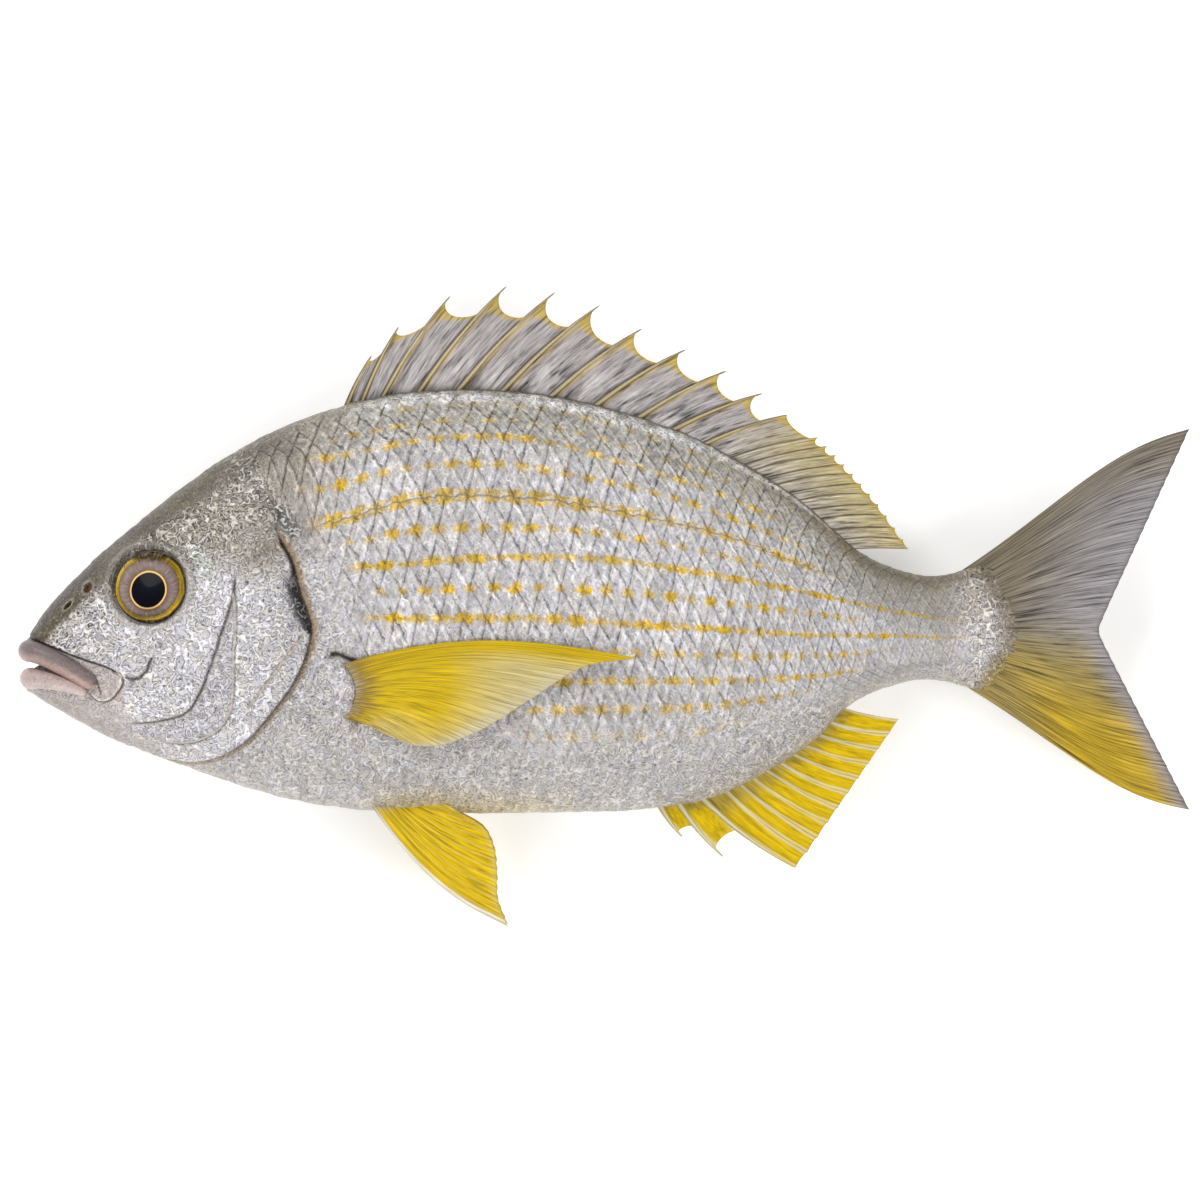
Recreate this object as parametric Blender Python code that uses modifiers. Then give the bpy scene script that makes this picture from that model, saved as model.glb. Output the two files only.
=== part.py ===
"""A whole raw seabream, lying on its right side.

Units are metres. The head points to -X, the back to +Y, and the shown left
flank faces +Z. The origin is under the middle of the fish, on the surface it
lies on. Every shape is first made with the fish's plane of symmetry at z = 0,
and lay_down then lifts it to its place.
"""
import math

import bmesh
import bpy
import numpy as np
from mathutils import Matrix, Vector

# Outline of the body without fins, from the snout to the root of the tail.
BACK_LINE = (
    (-0.1472, -0.0081), (-0.1422, -0.0004), (-0.1345, 0.0081), (-0.1153, 0.0247),
    (-0.1038, 0.0337), (-0.0884, 0.0429), (-0.0692, 0.0506), (-0.0526, 0.0544),
    (-0.0344, 0.0553), (-0.0167, 0.0542), (0.0038, 0.0498), (0.0294, 0.0398),
    (0.0523, 0.0251), (0.0641, 0.0147), (0.0755, 0.0091), (0.0857, 0.0076),
    (0.0960, 0.0108), (0.1060, 0.0150),
)
BELLY_LINE = (
    (-0.1472, -0.0222), (-0.1368, -0.0286), (-0.1268, -0.0337), (-0.1153, -0.0383),
    (-0.1038, -0.0426), (-0.0923, -0.0465), (-0.0807, -0.0496), (-0.0654, -0.0520),
    (-0.0398, -0.0530), (-0.0116, -0.0530), (0.0115, -0.0520), (0.0271, -0.0493),
    (0.0455, -0.0401), (0.0545, -0.0339), (0.0619, -0.0262), (0.0678, -0.0227),
    (0.0755, -0.0200), (0.0832, -0.0189), (0.0921, -0.0208), (0.1060, -0.0262),
)
# Half of the body's thickness along its length.
HALF_THICKNESS = (
    (-0.1500, 0.0066), (-0.1422, 0.0096), (-0.1268, 0.0137), (-0.1038, 0.0181),
    (-0.0782, 0.0208), (-0.0530, 0.0216), (-0.0270, 0.0213), (0.0089, 0.0184),
    (0.0294, 0.0153), (0.0499, 0.0116), (0.0652, 0.0087), (0.0806, 0.0061),
    (0.0908, 0.0044), (0.0985, 0.0027), (0.1060, 0.0009),
)
SNOUT_X = -0.1472
SNOUT_CAP = 0.0022
TAIL_ROOT_X = 0.1060
BODY_RINGS = 54
BODY_SIDES = 24
CAP_RINGS = 3
EDGE_POWER = 2.15

# How the fish lies: the flank is pressed flat by about 1.4 mm, the tail droops.
REST_HEIGHT = 0.0202
DROOP_START = 0.010
DROOP_END = 0.150
TAIL_DROOP = 0.006

# Eyes: flattened balls in sockets, with an eyelid ring around each.
EYE_CENTRE = (-0.1165, 0.0042)
EYE_RADIUS = 0.0093
EYE_HALF_DEPTH = 0.0062
EYE_STANDS_OUT = 0.0022
EYE_GAP = 0.0003
EYELID_RADIUS = 0.0101
EYELID_THICKNESS = 0.0010

# Lips: front and corner of each, as centre lines of tapering tubes.
UPPER_LIP = {"front": (-0.1474, -0.0122), "corner": (-0.1300, -0.0205),
             "radii": (0.0026, 0.0017)}
LOWER_LIP = {"front": (-0.1468, -0.0178), "corner": (-0.1325, -0.0222),
             "radii": (0.0027, 0.0015)}
LIP_HALF_SPREAD = 0.0112
LIP_POINTS = 13
MAXILLA_END = (-0.1268, -0.0204)
MAXILLA_SIZE = (0.0042, 0.0040, 0.0009)

# Plates of the head. Each starts sunk under its first line and stands proud
# at its second line.
GILL_COVER = {
    "front": ((-0.1000, 0.0120), (-0.1020, -0.0100), (-0.1080, -0.0280)),
    "rear": ((-0.0830, 0.0190), (-0.0789, 0.0075), (-0.0751, -0.0078), (-0.0809, -0.0220),
             (-0.0912, -0.0344), (-0.1040, -0.0390), (-0.1120, -0.0368)),
    "step": 0.0012,
}
CHEEK = {
    "front": ((-0.1060, 0.0060), (-0.1150, -0.0100), (-0.1220, -0.0220)),
    "rear": ((-0.0939, 0.0095), (-0.0943, 0.0020), (-0.0985, -0.0120), (-0.1040, -0.0245),
             (-0.1150, -0.0295)),
    "step": 0.0007,
}
LACRIMAL = {
    "front": ((-0.1400, 0.0000), (-0.1320, -0.0030), (-0.1240, -0.0080)),
    "rear": ((-0.1460, -0.0092), (-0.1368, -0.0124), (-0.1263, -0.0161), (-0.1222, -0.0180)),
    "step": 0.0007,
}
PLATE_THICKNESS = 0.0022
PLATE_SUNK = 0.0007

# Fin thickness, and how far the foot of each fin is rooted in the body.
MEMBRANE = 0.0009
ROOT_DEPTH = 0.0035
RAY_RELIEF = 0.00022

# Dorsal fin: base along the back, length and backward lean of each spine.
DORSAL_SPINES = (
    (-0.0659, 0.0139, 64), (-0.0620, 0.0210, 64), (-0.0569, 0.0310, 56),
    (-0.0477, 0.0352, 50), (-0.0377, 0.0354, 45), (-0.0264, 0.0334, 41),
    (-0.0140, 0.0292, 36), (-0.0026, 0.0273, 31), (0.0083, 0.0257, 27),
    (0.0171, 0.0250, 21), (0.0253, 0.0225, 18),
)
DORSAL_RAY_COUNT = 12
DORSAL_RAY_BASES = (0.0322, 0.0636)
DORSAL_RAY_LENGTHS = (0.0232, 0.0150)
DORSAL_RAY_LEANS = (12, -3)
# The membrane leaves a spine high on its rear and meets the next one lower.
NOTCH_HIGH = 0.93
DORSAL_NOTCH_LOW = 0.74
ANAL_NOTCH_LOW = 0.46
NOTCH_SAG = 0.05
SPINE_FOOT_RADIUS = 0.0011
SPINE_TIP_RADIUS = 0.00025
SPINE_BOW = 0.035
SPINE_POINTS = 4
SPINE_SWAY = 0.0004

# Anal fin: three spines, then soft rays up to a straight trailing edge.
ANAL_SPINES = (((0.0137, -0.0505), (0.0198, -0.0593)),
               ((0.0186, -0.0502), (0.0303, -0.0644)),
               ((0.0247, -0.0492), (0.0488, -0.0672)))
ANAL_RAY_COUNT = 10
ANAL_RAY_BASES = (0.0300, 0.0600)
ANAL_RAY_ENDS = ((0.0518, -0.0634), (0.0754, -0.0291))

# Fans: foot line, trailing edge, and the sideways bow of the first ray. The
# bow is deepest further out for a higher power, and it falls by the spread
# towards the last ray, so that with a spread of 2 that ray bows the other way.
CAUDAL_FOOT = ((0.0880, 0.0068), (0.0880, -0.0182))
CAUDAL_TIPS = ((0.1500, 0.0453), (0.1500, -0.0524))
CAUDAL_FORK = (0.1262, -0.0065)
CAUDAL_FORK_ROUNDING = 0.0012
CAUDAL_BOW = {"depth": 0.0040, "power": 1.8, "spread": 2.0}
PELVIC_FOOT = ((-0.0615, -0.0485), (-0.0478, -0.0490))
PELVIC_EDGE = ((-0.0248, -0.0820), (-0.0274, -0.0752), (-0.0276, -0.0684),
               (-0.0284, -0.0619), (-0.0303, -0.0576), (-0.0381, -0.0525))
PELVIC_BOW = {"depth": -0.0055, "power": 0.9, "spread": 1.2}
PELVIC_SPREAD = 0.0042
PELVIC_SPLAY = 0.0040
PECTORAL_FOOT = ((-0.0650, -0.0150), (-0.0650, -0.0285))
PECTORAL_EDGE = ((0.0087, -0.0134), (-0.0042, -0.0153), (-0.0193, -0.0242),
                 (-0.0328, -0.0323), (-0.0435, -0.0358), (-0.0489, -0.0355),
                 (-0.0543, -0.0334))
PECTORAL_BOW = {"depth": 0.0054, "power": 0.85, "spread": 1.0}
PECTORAL_LIFT = 0.0018
PECTORAL_SUNK = 0.0006
# The fleshy lobe that carries each pectoral fin.
LOBE_CENTRE = (-0.0655, -0.0218)
LOBE_SIZE = (0.0054, 0.0084, 0.0016)
# The hidden right pectoral is folded lower, clear of the flat spot.
RIGHT_PECTORAL_TURN = math.radians(-19)
FLOOR_CLEARANCE = 0.0003

COLOURS = {
    "skin": ((0.58, 0.56, 0.55), 0.32, 0.25),
    "eye": ((0.09, 0.07, 0.05), 0.08, 0.0),
}


def clear_scene():
    for obj in list(bpy.data.objects):
        bpy.data.objects.remove(obj, do_unlink=True)


def new_collection(name):
    collection = bpy.data.collections.new(name)
    bpy.context.scene.collection.children.link(collection)
    return collection


def material(name):
    colour, roughness, metallic = COLOURS[name]
    made = bpy.data.materials.new(name)
    made.use_nodes = True
    shader = made.node_tree.nodes["Principled BSDF"]
    shader.inputs["Base Color"].default_value = (*colour, 1.0)
    shader.inputs["Roughness"].default_value = roughness
    shader.inputs["Metallic"].default_value = metallic
    return made


# Curves and the body's surface

def smooth(points, at):
    """A smooth curve through (x, value) points, read at one x."""
    xs = np.array([p[0] for p in points])
    ys = np.array([p[1] for p in points])
    slopes = np.gradient(ys, xs)
    i = int(np.clip(np.searchsorted(xs, at) - 1, 0, len(xs) - 2))
    step = xs[i + 1] - xs[i]
    t = min(max((at - xs[i]) / step, 0.0), 1.0)
    return float(
        (2 * t**3 - 3 * t**2 + 1) * ys[i] + (t**3 - 2 * t**2 + t) * step * slopes[i]
        + (3 * t**2 - 2 * t**3) * ys[i + 1] + (t**3 - t**2) * step * slopes[i + 1]
    )


def along(points, u):
    """The point at fraction u of a smooth line through 2-D points."""
    lengths = [0.0]
    for a, b in zip(points, points[1:]):
        lengths.append(lengths[-1] + math.dist(a, b))
    place = u * lengths[-1]
    return tuple(smooth(list(zip(lengths, [p[k] for p in points])), place) for k in (0, 1))


def section(x):
    """Middle height, half height and half thickness of the body at x."""
    back, belly = smooth(BACK_LINE, x), smooth(BELLY_LINE, x)
    return (back + belly) / 2, (back - belly) / 2, smooth(HALF_THICKNESS, x)


def flank(x, y):
    """Height of the flank above the plane of symmetry."""
    middle, half_height, half_thickness = section(x)
    share = min(abs(y - middle) / half_height, 1.0)
    return half_thickness * math.sqrt(1 - share**EDGE_POWER)


def flank_frame(x, y, side):
    """Place on the flank of one side, with its outward normal as Z."""
    step = 0.001
    slope_x = (flank(x + step, y) - flank(x - step, y)) / (2 * step)
    slope_y = (flank(x, y + step) - flank(x, y - step)) / (2 * step)
    normal = Vector((-slope_x, -slope_y, 1.0)).normalized()
    place = Vector((x, y, flank(x, y)))
    if side < 0:
        normal.z, place.z = -normal.z, -place.z
    return Matrix.Translation(place) @ normal.to_track_quat("Z", "Y").to_matrix().to_4x4()


def droop(x):
    t = min(max((x - DROOP_START) / (DROOP_END - DROOP_START), 0.0), 1.0)
    return TAIL_DROOP * t * t


def lay_down(mesh, lowest=None):
    """Lift a mesh to the height at which the fish lies, and press it flat."""
    for vertex in mesh.vertices:
        vertex.co.z += REST_HEIGHT - droop(vertex.co.x)
        if lowest is not None:
            vertex.co.z = max(vertex.co.z, lowest)


# Making objects

def mesh_object(name, bm, collection):
    mesh = bpy.data.meshes.new(name)
    bm.to_mesh(mesh)
    bm.free()
    obj = bpy.data.objects.new(name, mesh)
    collection.objects.link(obj)
    return obj


def apply_modifiers(obj):
    """Replace an object's mesh by its evaluated one, with loose caps welded."""
    graph = bpy.context.evaluated_depsgraph_get()
    graph.update()
    mesh = bpy.data.meshes.new_from_object(obj.evaluated_get(graph))
    mesh.transform(obj.matrix_world)
    collection, name = obj.users_collection[0], obj.name
    bpy.data.objects.remove(obj, do_unlink=True)
    bm = bmesh.new()
    bm.from_mesh(mesh)
    bpy.data.meshes.remove(mesh)
    bmesh.ops.remove_doubles(bm, verts=bm.verts, dist=1e-6)
    return mesh_object(name, bm, collection)


def sheet(name, columns, rows, place, thickness, collection):
    """A curved sheet: place(column, s) gives its middle, s runs foot to edge."""
    bm = bmesh.new()
    bmesh.ops.create_grid(bm, x_segments=columns, y_segments=rows, size=0.5)
    for vertex in bm.verts:
        column = round((vertex.co.x + 0.5) * columns)
        vertex.co = place(column, vertex.co.y + 0.5)
    bmesh.ops.triangulate(bm, faces=bm.faces)
    obj = mesh_object(name, bm, collection)
    solidify = obj.modifiers.new("Thickness", "SOLIDIFY")
    solidify.thickness = thickness
    solidify.offset = 0.0
    return apply_modifiers(obj)


def tube(name, points, radii, collection):
    curve = bpy.data.curves.new(name, "CURVE")
    curve.dimensions = "3D"
    curve.bevel_depth = 1.0
    curve.bevel_resolution = 1
    curve.use_fill_caps = True
    spline = curve.splines.new("POLY")
    spline.points.add(len(points) - 1)
    for control, point, radius in zip(spline.points, points, radii):
        control.co = (*point, 1.0)
        control.radius = radius
    obj = bpy.data.objects.new(name, curve)
    collection.objects.link(obj)
    return apply_modifiers(obj)


def body(collection):
    """The body as a loft through oval rings, with a rounded snout."""
    rings = []
    for k in range(CAP_RINGS):
        angle = math.pi / 2 * (1 - (k + 0.4) / CAP_RINGS)
        rings.append((SNOUT_X - SNOUT_CAP * math.sin(angle), SNOUT_X, math.cos(angle)))
    for k in range(BODY_RINGS + 1):
        x = SNOUT_X + (TAIL_ROOT_X - SNOUT_X) * k / BODY_RINGS
        rings.append((x, x, 1.0))
    bm = bmesh.new()
    loops = []
    for x, section_x, scale in rings:
        middle, half_height, half_thickness = section(section_x)
        loop = []
        for side in range(BODY_SIDES):
            angle = 2 * math.pi * side / BODY_SIDES
            rise, out = math.sin(angle), math.cos(angle)
            share = math.copysign(abs(rise) ** (2 / EDGE_POWER), rise)
            loop.append(bm.verts.new((x, middle + half_height * share * scale,
                                      half_thickness * out * scale)))
        loops.append(loop)
    for first, second in zip(loops, loops[1:]):
        for side in range(BODY_SIDES):
            after = (side + 1) % BODY_SIDES
            bm.faces.new((first[side], second[side], second[after], first[after]))
    bm.faces.new(loops[0])
    bm.faces.new(reversed(loops[-1]))
    bmesh.ops.recalc_face_normals(bm, faces=bm.faces)
    bmesh.ops.triangulate(bm, faces=bm.faces)
    return mesh_object("fish", bm, collection)


# Head

def plate(name, lines, side, collection, columns=8, rows=2):
    """A bone plate on the head, proud of the skin along its rear line."""
    def place(column, s):
        u = column / columns
        front, rear = along(lines["front"], u), along(lines["rear"], u)
        x = front[0] + (rear[0] - front[0]) * s
        y = front[1] + (rear[1] - front[1]) * s
        top = flank(x, y) - PLATE_SUNK + (PLATE_SUNK + lines["step"]) * s * s
        return Vector((x, y, side * (top - PLATE_THICKNESS / 2)))
    return sheet(name, columns, rows, place, PLATE_THICKNESS, collection)


def lip(name, sizes, collection):
    """A lip: a tube around the front of the mouth, thinner at its corners."""
    (front_x, front_y), (corner_x, corner_y) = sizes["front"], sizes["corner"]
    front_radius, corner_radius = sizes["radii"]
    points, radii = [], []
    for k in range(LIP_POINTS):
        spread = -1 + 2 * k / (LIP_POINTS - 1)
        out = math.sin(spread * math.pi / 2)
        back = 0.35 * abs(spread) ** 3 + 0.65 * abs(out) ** 8
        points.append((front_x + (corner_x - front_x) * back,
                       front_y + (corner_y - front_y) * back ** 1.3, LIP_HALF_SPREAD * out))
        radii.append(front_radius + (corner_radius - front_radius) * abs(spread))
    return tube(name, points, radii, collection)


def swelling(name, centre, size, side, collection):
    """A flat rounded swelling on the flank."""
    bm = bmesh.new()
    bmesh.ops.create_uvsphere(bm, u_segments=12, v_segments=4, radius=1.0)
    bm.transform(flank_frame(*centre, side) @ Matrix.Diagonal((*size, 1.0)))
    return mesh_object(name, bm, collection)


def eyelid(name, side, collection):
    bpy.ops.mesh.primitive_torus_add(
        major_radius=EYELID_RADIUS, minor_radius=EYELID_THICKNESS,
        major_segments=20, minor_segments=5)
    obj = bpy.context.object
    obj.data.transform(flank_frame(*EYE_CENTRE, side))
    obj.name = name
    for owner in list(obj.users_collection):
        owner.objects.unlink(obj)
    collection.objects.link(obj)
    return obj


def eye_shape(name, side, grow, collection):
    """The flattened ball of an eye, or its socket when grown by the gap."""
    bm = bmesh.new()
    bmesh.ops.create_uvsphere(bm, u_segments=20, v_segments=10, radius=1.0)
    radius, half_depth = EYE_RADIUS + grow, EYE_HALF_DEPTH + grow
    bm.transform(flank_frame(*EYE_CENTRE, side)
                 @ Matrix.Translation((0, 0, EYE_STANDS_OUT - EYE_HALF_DEPTH))
                 @ Matrix.Diagonal((radius, radius, half_depth, 1.0)))
    return mesh_object(name, bm, collection)


# Fins

def bowed(base, tip, s, bow):
    """Point at share s of a ray that bows sideways by bow times its length."""
    along_x, along_y = tip[0] - base[0], tip[1] - base[1]
    swell = 4 * s * (1 - s) * bow
    return (base[0] + along_x * s - along_y * swell, base[1] + along_y * s + along_x * swell)


def dorsal_rays():
    """Foot and tip of each spine and soft ray along the back."""
    rays = [(x, length, lean) for x, length, lean in DORSAL_SPINES]
    for k in range(DORSAL_RAY_COUNT):
        t = k / (DORSAL_RAY_COUNT - 1)
        rays.append(tuple(a + (b - a) * t for a, b in
                          (DORSAL_RAY_BASES, DORSAL_RAY_LENGTHS, DORSAL_RAY_LEANS)))
    feet_and_tips = []
    for x, length, lean in rays:
        y = smooth(BACK_LINE, x)
        angle = math.radians(lean)
        tip = (x + length * math.cos(angle), y + length * math.sin(angle))
        root = ROOT_DEPTH / length
        foot = (x - (tip[0] - x) * root, y - (tip[1] - y) * root - ROOT_DEPTH / 3)
        feet_and_tips.append((foot, tip))
    return feet_and_tips


def anal_rays():
    """Foot and tip of each spine and soft ray behind the vent."""
    rays = list(ANAL_SPINES)
    for k in range(ANAL_RAY_COUNT):
        t = k / (ANAL_RAY_COUNT - 1)
        x = ANAL_RAY_BASES[0] + (ANAL_RAY_BASES[1] - ANAL_RAY_BASES[0]) * t
        foot = (x, smooth(BELLY_LINE, x) + 0.6 * ROOT_DEPTH)
        tip = tuple(a + (b - a) * t for a, b in zip(*ANAL_RAY_ENDS))
        rays.append((foot, tip))
    return rays


def ray_membrane(name, rays, spine_count, bow, notch_low, collection, rows=3):
    """The web between rays, scalloped between the spines."""
    stations = []
    for i in range(len(rays) - 1):
        spiny = i < spine_count - 1
        for share in ((0.0, 0.35, 0.7, 0.93) if spiny else (0.0, 0.5)):
            stations.append((i, share, spiny))
    stations.append((len(rays) - 2, 1.0, False))

    def place(column, s):
        i, share, spiny = stations[column]
        high = NOTCH_HIGH if spiny or i < spine_count else 1.0
        low = notch_low if spiny else 1.0
        sag = 1 - (NOTCH_SAG if spiny else 0.02) * 4 * share * (1 - share)
        first = bowed(*rays[i], s * high * sag, bow)
        second = bowed(*rays[i + 1], s * low * sag, bow)
        ridge = RAY_RELIEF * (1 if column % 2 else -1) * (0 if spiny else 1)
        return Vector((first[0] + (second[0] - first[0]) * share,
                       first[1] + (second[1] - first[1]) * share, ridge))
    return sheet(name, len(stations) - 1, rows, place, MEMBRANE, collection)


def spine(name, ray, foot_radius, bow, sway, collection):
    """A pointed fin spine."""
    points, radii = [], []
    for k in range(SPINE_POINTS):
        s = k / (SPINE_POINTS - 1)
        points.append((*bowed(*ray, s, bow), sway * s))
        radii.append(foot_radius + (SPINE_TIP_RADIUS - foot_radius) * s**1.3)
    return tube(name, points, radii, collection)


def dorsal_fin(collection):
    rays = dorsal_rays()
    ray_membrane("dorsal_membrane", rays, len(DORSAL_SPINES), SPINE_BOW,
                 DORSAL_NOTCH_LOW, collection)
    for k in range(len(DORSAL_SPINES)):
        sway = SPINE_SWAY if k % 2 else -SPINE_SWAY
        spine(f"dorsal_spine_{k + 1}", rays[k], SPINE_FOOT_RADIUS, SPINE_BOW, sway, collection)


def anal_fin(collection):
    rays = anal_rays()
    ray_membrane("anal_membrane", rays, len(ANAL_SPINES), -SPINE_BOW,
                 ANAL_NOTCH_LOW, collection)
    for k in range(len(ANAL_SPINES)):
        spine(f"anal_spine_{k + 1}", rays[k], SPINE_FOOT_RADIUS, -SPINE_BOW, 0.0, collection)


def fan(foot, edge, bow, s, u):
    """Point of a fan of rays, u across it and s from foot to edge."""
    base = tuple(a + (b - a) * u for a, b in zip(*foot))
    tip = edge(u)
    swell = bow["depth"] * math.sin(math.pi * s ** bow["power"]) * (1 - bow["spread"] * u)
    return base[0] + (tip[0] - base[0]) * s, base[1] + (tip[1] - base[1]) * s + swell


def caudal_edge(u):
    """The forked trailing edge of the tail: two straight arms."""
    (tip_x, top), (_, bottom) = CAUDAL_TIPS
    fork_x, fork_y = CAUDAL_FORK
    y = top + (bottom - top) * u
    reach = (top - fork_y) if y > fork_y else (fork_y - bottom)
    away = math.hypot(y - fork_y, CAUDAL_FORK_ROUNDING) / math.hypot(reach, CAUDAL_FORK_ROUNDING)
    return fork_x + (tip_x - fork_x) * away, y


def caudal_fin(collection, columns=28, rows=5):
    def place(column, s):
        x, y = fan(CAUDAL_FOOT, caudal_edge, CAUDAL_BOW, s, column / columns)
        ridge = RAY_RELIEF * (1 if column % 2 else -1)
        return Vector((x, y, ridge))
    return sheet("caudal_fin", columns, rows, place, MEMBRANE * 1.2, collection)


def pelvic_fin(name, side, collection, columns=10, rows=5):
    """A pelvic fin, splayed outward from the breast."""
    def place(column, s):
        u = column / columns
        x, y = fan(PELVIC_FOOT, lambda v: along(PELVIC_EDGE, v), PELVIC_BOW, s, u)
        ridge = RAY_RELIEF * (1 if column % 2 else -1)
        return Vector((x, y, side * (PELVIC_SPREAD + PELVIC_SPLAY * s) + ridge))
    return sheet(name, columns, rows, place, MEMBRANE, collection)


def pectoral_fin(name, side, collection, columns=14, rows=5):
    """A pectoral fin, folded back along the flank and free towards its tip."""
    turn = RIGHT_PECTORAL_TURN if side < 0 else 0.0
    pivot = Vector(((PECTORAL_FOOT[0][0] + PECTORAL_FOOT[1][0]) / 2,
                    (PECTORAL_FOOT[0][1] + PECTORAL_FOOT[1][1]) / 2))

    def place(column, s):
        u = column / columns
        flat = Vector(fan(PECTORAL_FOOT, lambda v: along(PECTORAL_EDGE, v), PECTORAL_BOW, s, u))
        flat = pivot + Matrix.Rotation(turn, 2) @ (flat - pivot)
        out = flank(*flat) - PECTORAL_SUNK * (1 - s) + PECTORAL_LIFT * s
        if side < 0:
            room = REST_HEIGHT - droop(flat.x) - FLOOR_CLEARANCE - 0.8 * MEMBRANE
            out = min(out, room)
        ridge = RAY_RELIEF * (1 if column % 2 else -1)
        return Vector((*flat, side * out + ridge))
    return sheet(name, columns, rows, place, MEMBRANE, collection)


# Joining

def boolean(target, operation, collection):
    """Join or cut one object with a whole collection, and apply it."""
    modifier = target.modifiers.new(operation.title(), "BOOLEAN")
    modifier.operation = operation
    modifier.operand_type = "COLLECTION"
    modifier.collection = collection
    modifier.solver = "MANIFOLD"
    joined = apply_modifiers(target)
    for obj in list(collection.objects):
        bpy.data.objects.remove(obj, do_unlink=True)
    return joined


def both_sides(make, name, collection):
    for side, word in ((1, "left"), (-1, "right")):
        make(f"{name}_{word}", side, collection)


def fish(collection, pieces, cutters):
    """The whole fish: body, head plates, lips and all fins in one solid."""
    target = body(collection)
    lay_down(target.data, lowest=0.0)
    both_sides(lambda n, s, c: plate(n, GILL_COVER, s, c, columns=14), "gill_cover", pieces)
    both_sides(lambda n, s, c: plate(n, CHEEK, s, c), "cheek", pieces)
    both_sides(lambda n, s, c: plate(n, LACRIMAL, s, c), "lacrimal", pieces)
    both_sides(lambda n, s, c: swelling(n, MAXILLA_END, MAXILLA_SIZE, s, c),
               "maxilla_end", pieces)
    both_sides(lambda n, s, c: swelling(n, LOBE_CENTRE, LOBE_SIZE, s, c),
               "pectoral_lobe", pieces)
    both_sides(eyelid, "eyelid", pieces)
    lip("upper_lip", UPPER_LIP, pieces)
    lip("lower_lip", LOWER_LIP, pieces)
    dorsal_fin(pieces)
    anal_fin(pieces)
    caudal_fin(pieces)
    both_sides(pelvic_fin, "pelvic_fin", pieces)
    both_sides(pectoral_fin, "pectoral_fin", pieces)
    for piece in pieces.objects:
        lay_down(piece.data, lowest=FLOOR_CLEARANCE)
    target = boolean(target, "UNION", pieces)
    both_sides(lambda n, s, c: eye_shape(n, s, EYE_GAP, c), "socket", cutters)
    for cutter in cutters.objects:
        lay_down(cutter.data)
    target = boolean(target, "DIFFERENCE", cutters)
    target.data.materials.append(material("skin"))
    return target


def eyes(collection):
    for side, word in ((1, "left"), (-1, "right")):
        eye = eye_shape(f"eye_{word}", side, 0.0, collection)
        lay_down(eye.data)
        eye.data.materials.append(material("eye"))
        eye.data.shade_smooth()


def main():
    clear_scene()
    collection = new_collection("whole_raw_fish")
    pieces = new_collection("pieces_to_join")
    cutters = new_collection("cutters")
    fish(collection, pieces, cutters)
    eyes(collection)


main()
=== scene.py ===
"""The looks of a whole raw seabream, dressed over its solids. Units are metres.

The fish lies on its right side, head to -X, back to +Y, shown flank up. As in
the solids, every shape is made with the fish's plane of symmetry at z = 0 and
then lifted to the height at which it lies.
"""
import math

import bpy
import numpy as np
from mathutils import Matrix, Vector


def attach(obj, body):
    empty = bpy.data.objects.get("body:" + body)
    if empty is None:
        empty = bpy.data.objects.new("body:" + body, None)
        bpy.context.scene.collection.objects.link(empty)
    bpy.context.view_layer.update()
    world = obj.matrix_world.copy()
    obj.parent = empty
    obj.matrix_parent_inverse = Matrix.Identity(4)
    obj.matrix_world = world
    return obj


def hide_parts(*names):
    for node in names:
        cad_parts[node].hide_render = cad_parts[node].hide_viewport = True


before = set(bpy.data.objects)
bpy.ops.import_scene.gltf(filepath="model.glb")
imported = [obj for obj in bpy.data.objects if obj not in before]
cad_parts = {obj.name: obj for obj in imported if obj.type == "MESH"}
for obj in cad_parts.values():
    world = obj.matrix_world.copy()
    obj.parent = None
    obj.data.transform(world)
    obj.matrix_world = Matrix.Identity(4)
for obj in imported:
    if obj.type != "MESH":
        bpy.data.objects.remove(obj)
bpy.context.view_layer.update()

SEED = 7

# Outline of the body, as in the solids: (x, height) from snout to tail root.
BACK_LINE = (
    (-0.1472, -0.0081), (-0.1422, -0.0004), (-0.1345, 0.0081), (-0.1153, 0.0247),
    (-0.1038, 0.0337), (-0.0884, 0.0429), (-0.0692, 0.0506), (-0.0526, 0.0544),
    (-0.0344, 0.0553), (-0.0167, 0.0542), (0.0038, 0.0498), (0.0294, 0.0398),
    (0.0523, 0.0251), (0.0641, 0.0147), (0.0755, 0.0091), (0.0857, 0.0076),
    (0.0960, 0.0108), (0.1060, 0.0150),
)
BELLY_LINE = (
    (-0.1472, -0.0222), (-0.1368, -0.0286), (-0.1268, -0.0337), (-0.1153, -0.0383),
    (-0.1038, -0.0426), (-0.0923, -0.0465), (-0.0807, -0.0496), (-0.0654, -0.0520),
    (-0.0398, -0.0530), (-0.0116, -0.0530), (0.0115, -0.0520), (0.0271, -0.0493),
    (0.0455, -0.0401), (0.0545, -0.0339), (0.0619, -0.0262), (0.0678, -0.0227),
    (0.0755, -0.0200), (0.0832, -0.0189), (0.0921, -0.0208), (0.1060, -0.0262),
)
HALF_THICKNESS = (
    (-0.1500, 0.0066), (-0.1422, 0.0096), (-0.1268, 0.0137), (-0.1038, 0.0181),
    (-0.0782, 0.0208), (-0.0530, 0.0216), (-0.0270, 0.0213), (0.0089, 0.0184),
    (0.0294, 0.0153), (0.0499, 0.0116), (0.0652, 0.0087), (0.0806, 0.0061),
    (0.0908, 0.0044), (0.0985, 0.0027), (0.1060, 0.0009),
)
SNOUT_X = -0.1472
SNOUT_CAP = 0.0022
HEAD_END_X = -0.072
TAIL_ROOT_X = 0.1060
EDGE_POWER = 2.15
REST_HEIGHT = 0.0202
DROOP_START = 0.010
DROOP_END = 0.150
TAIL_DROOP = 0.006

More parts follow.
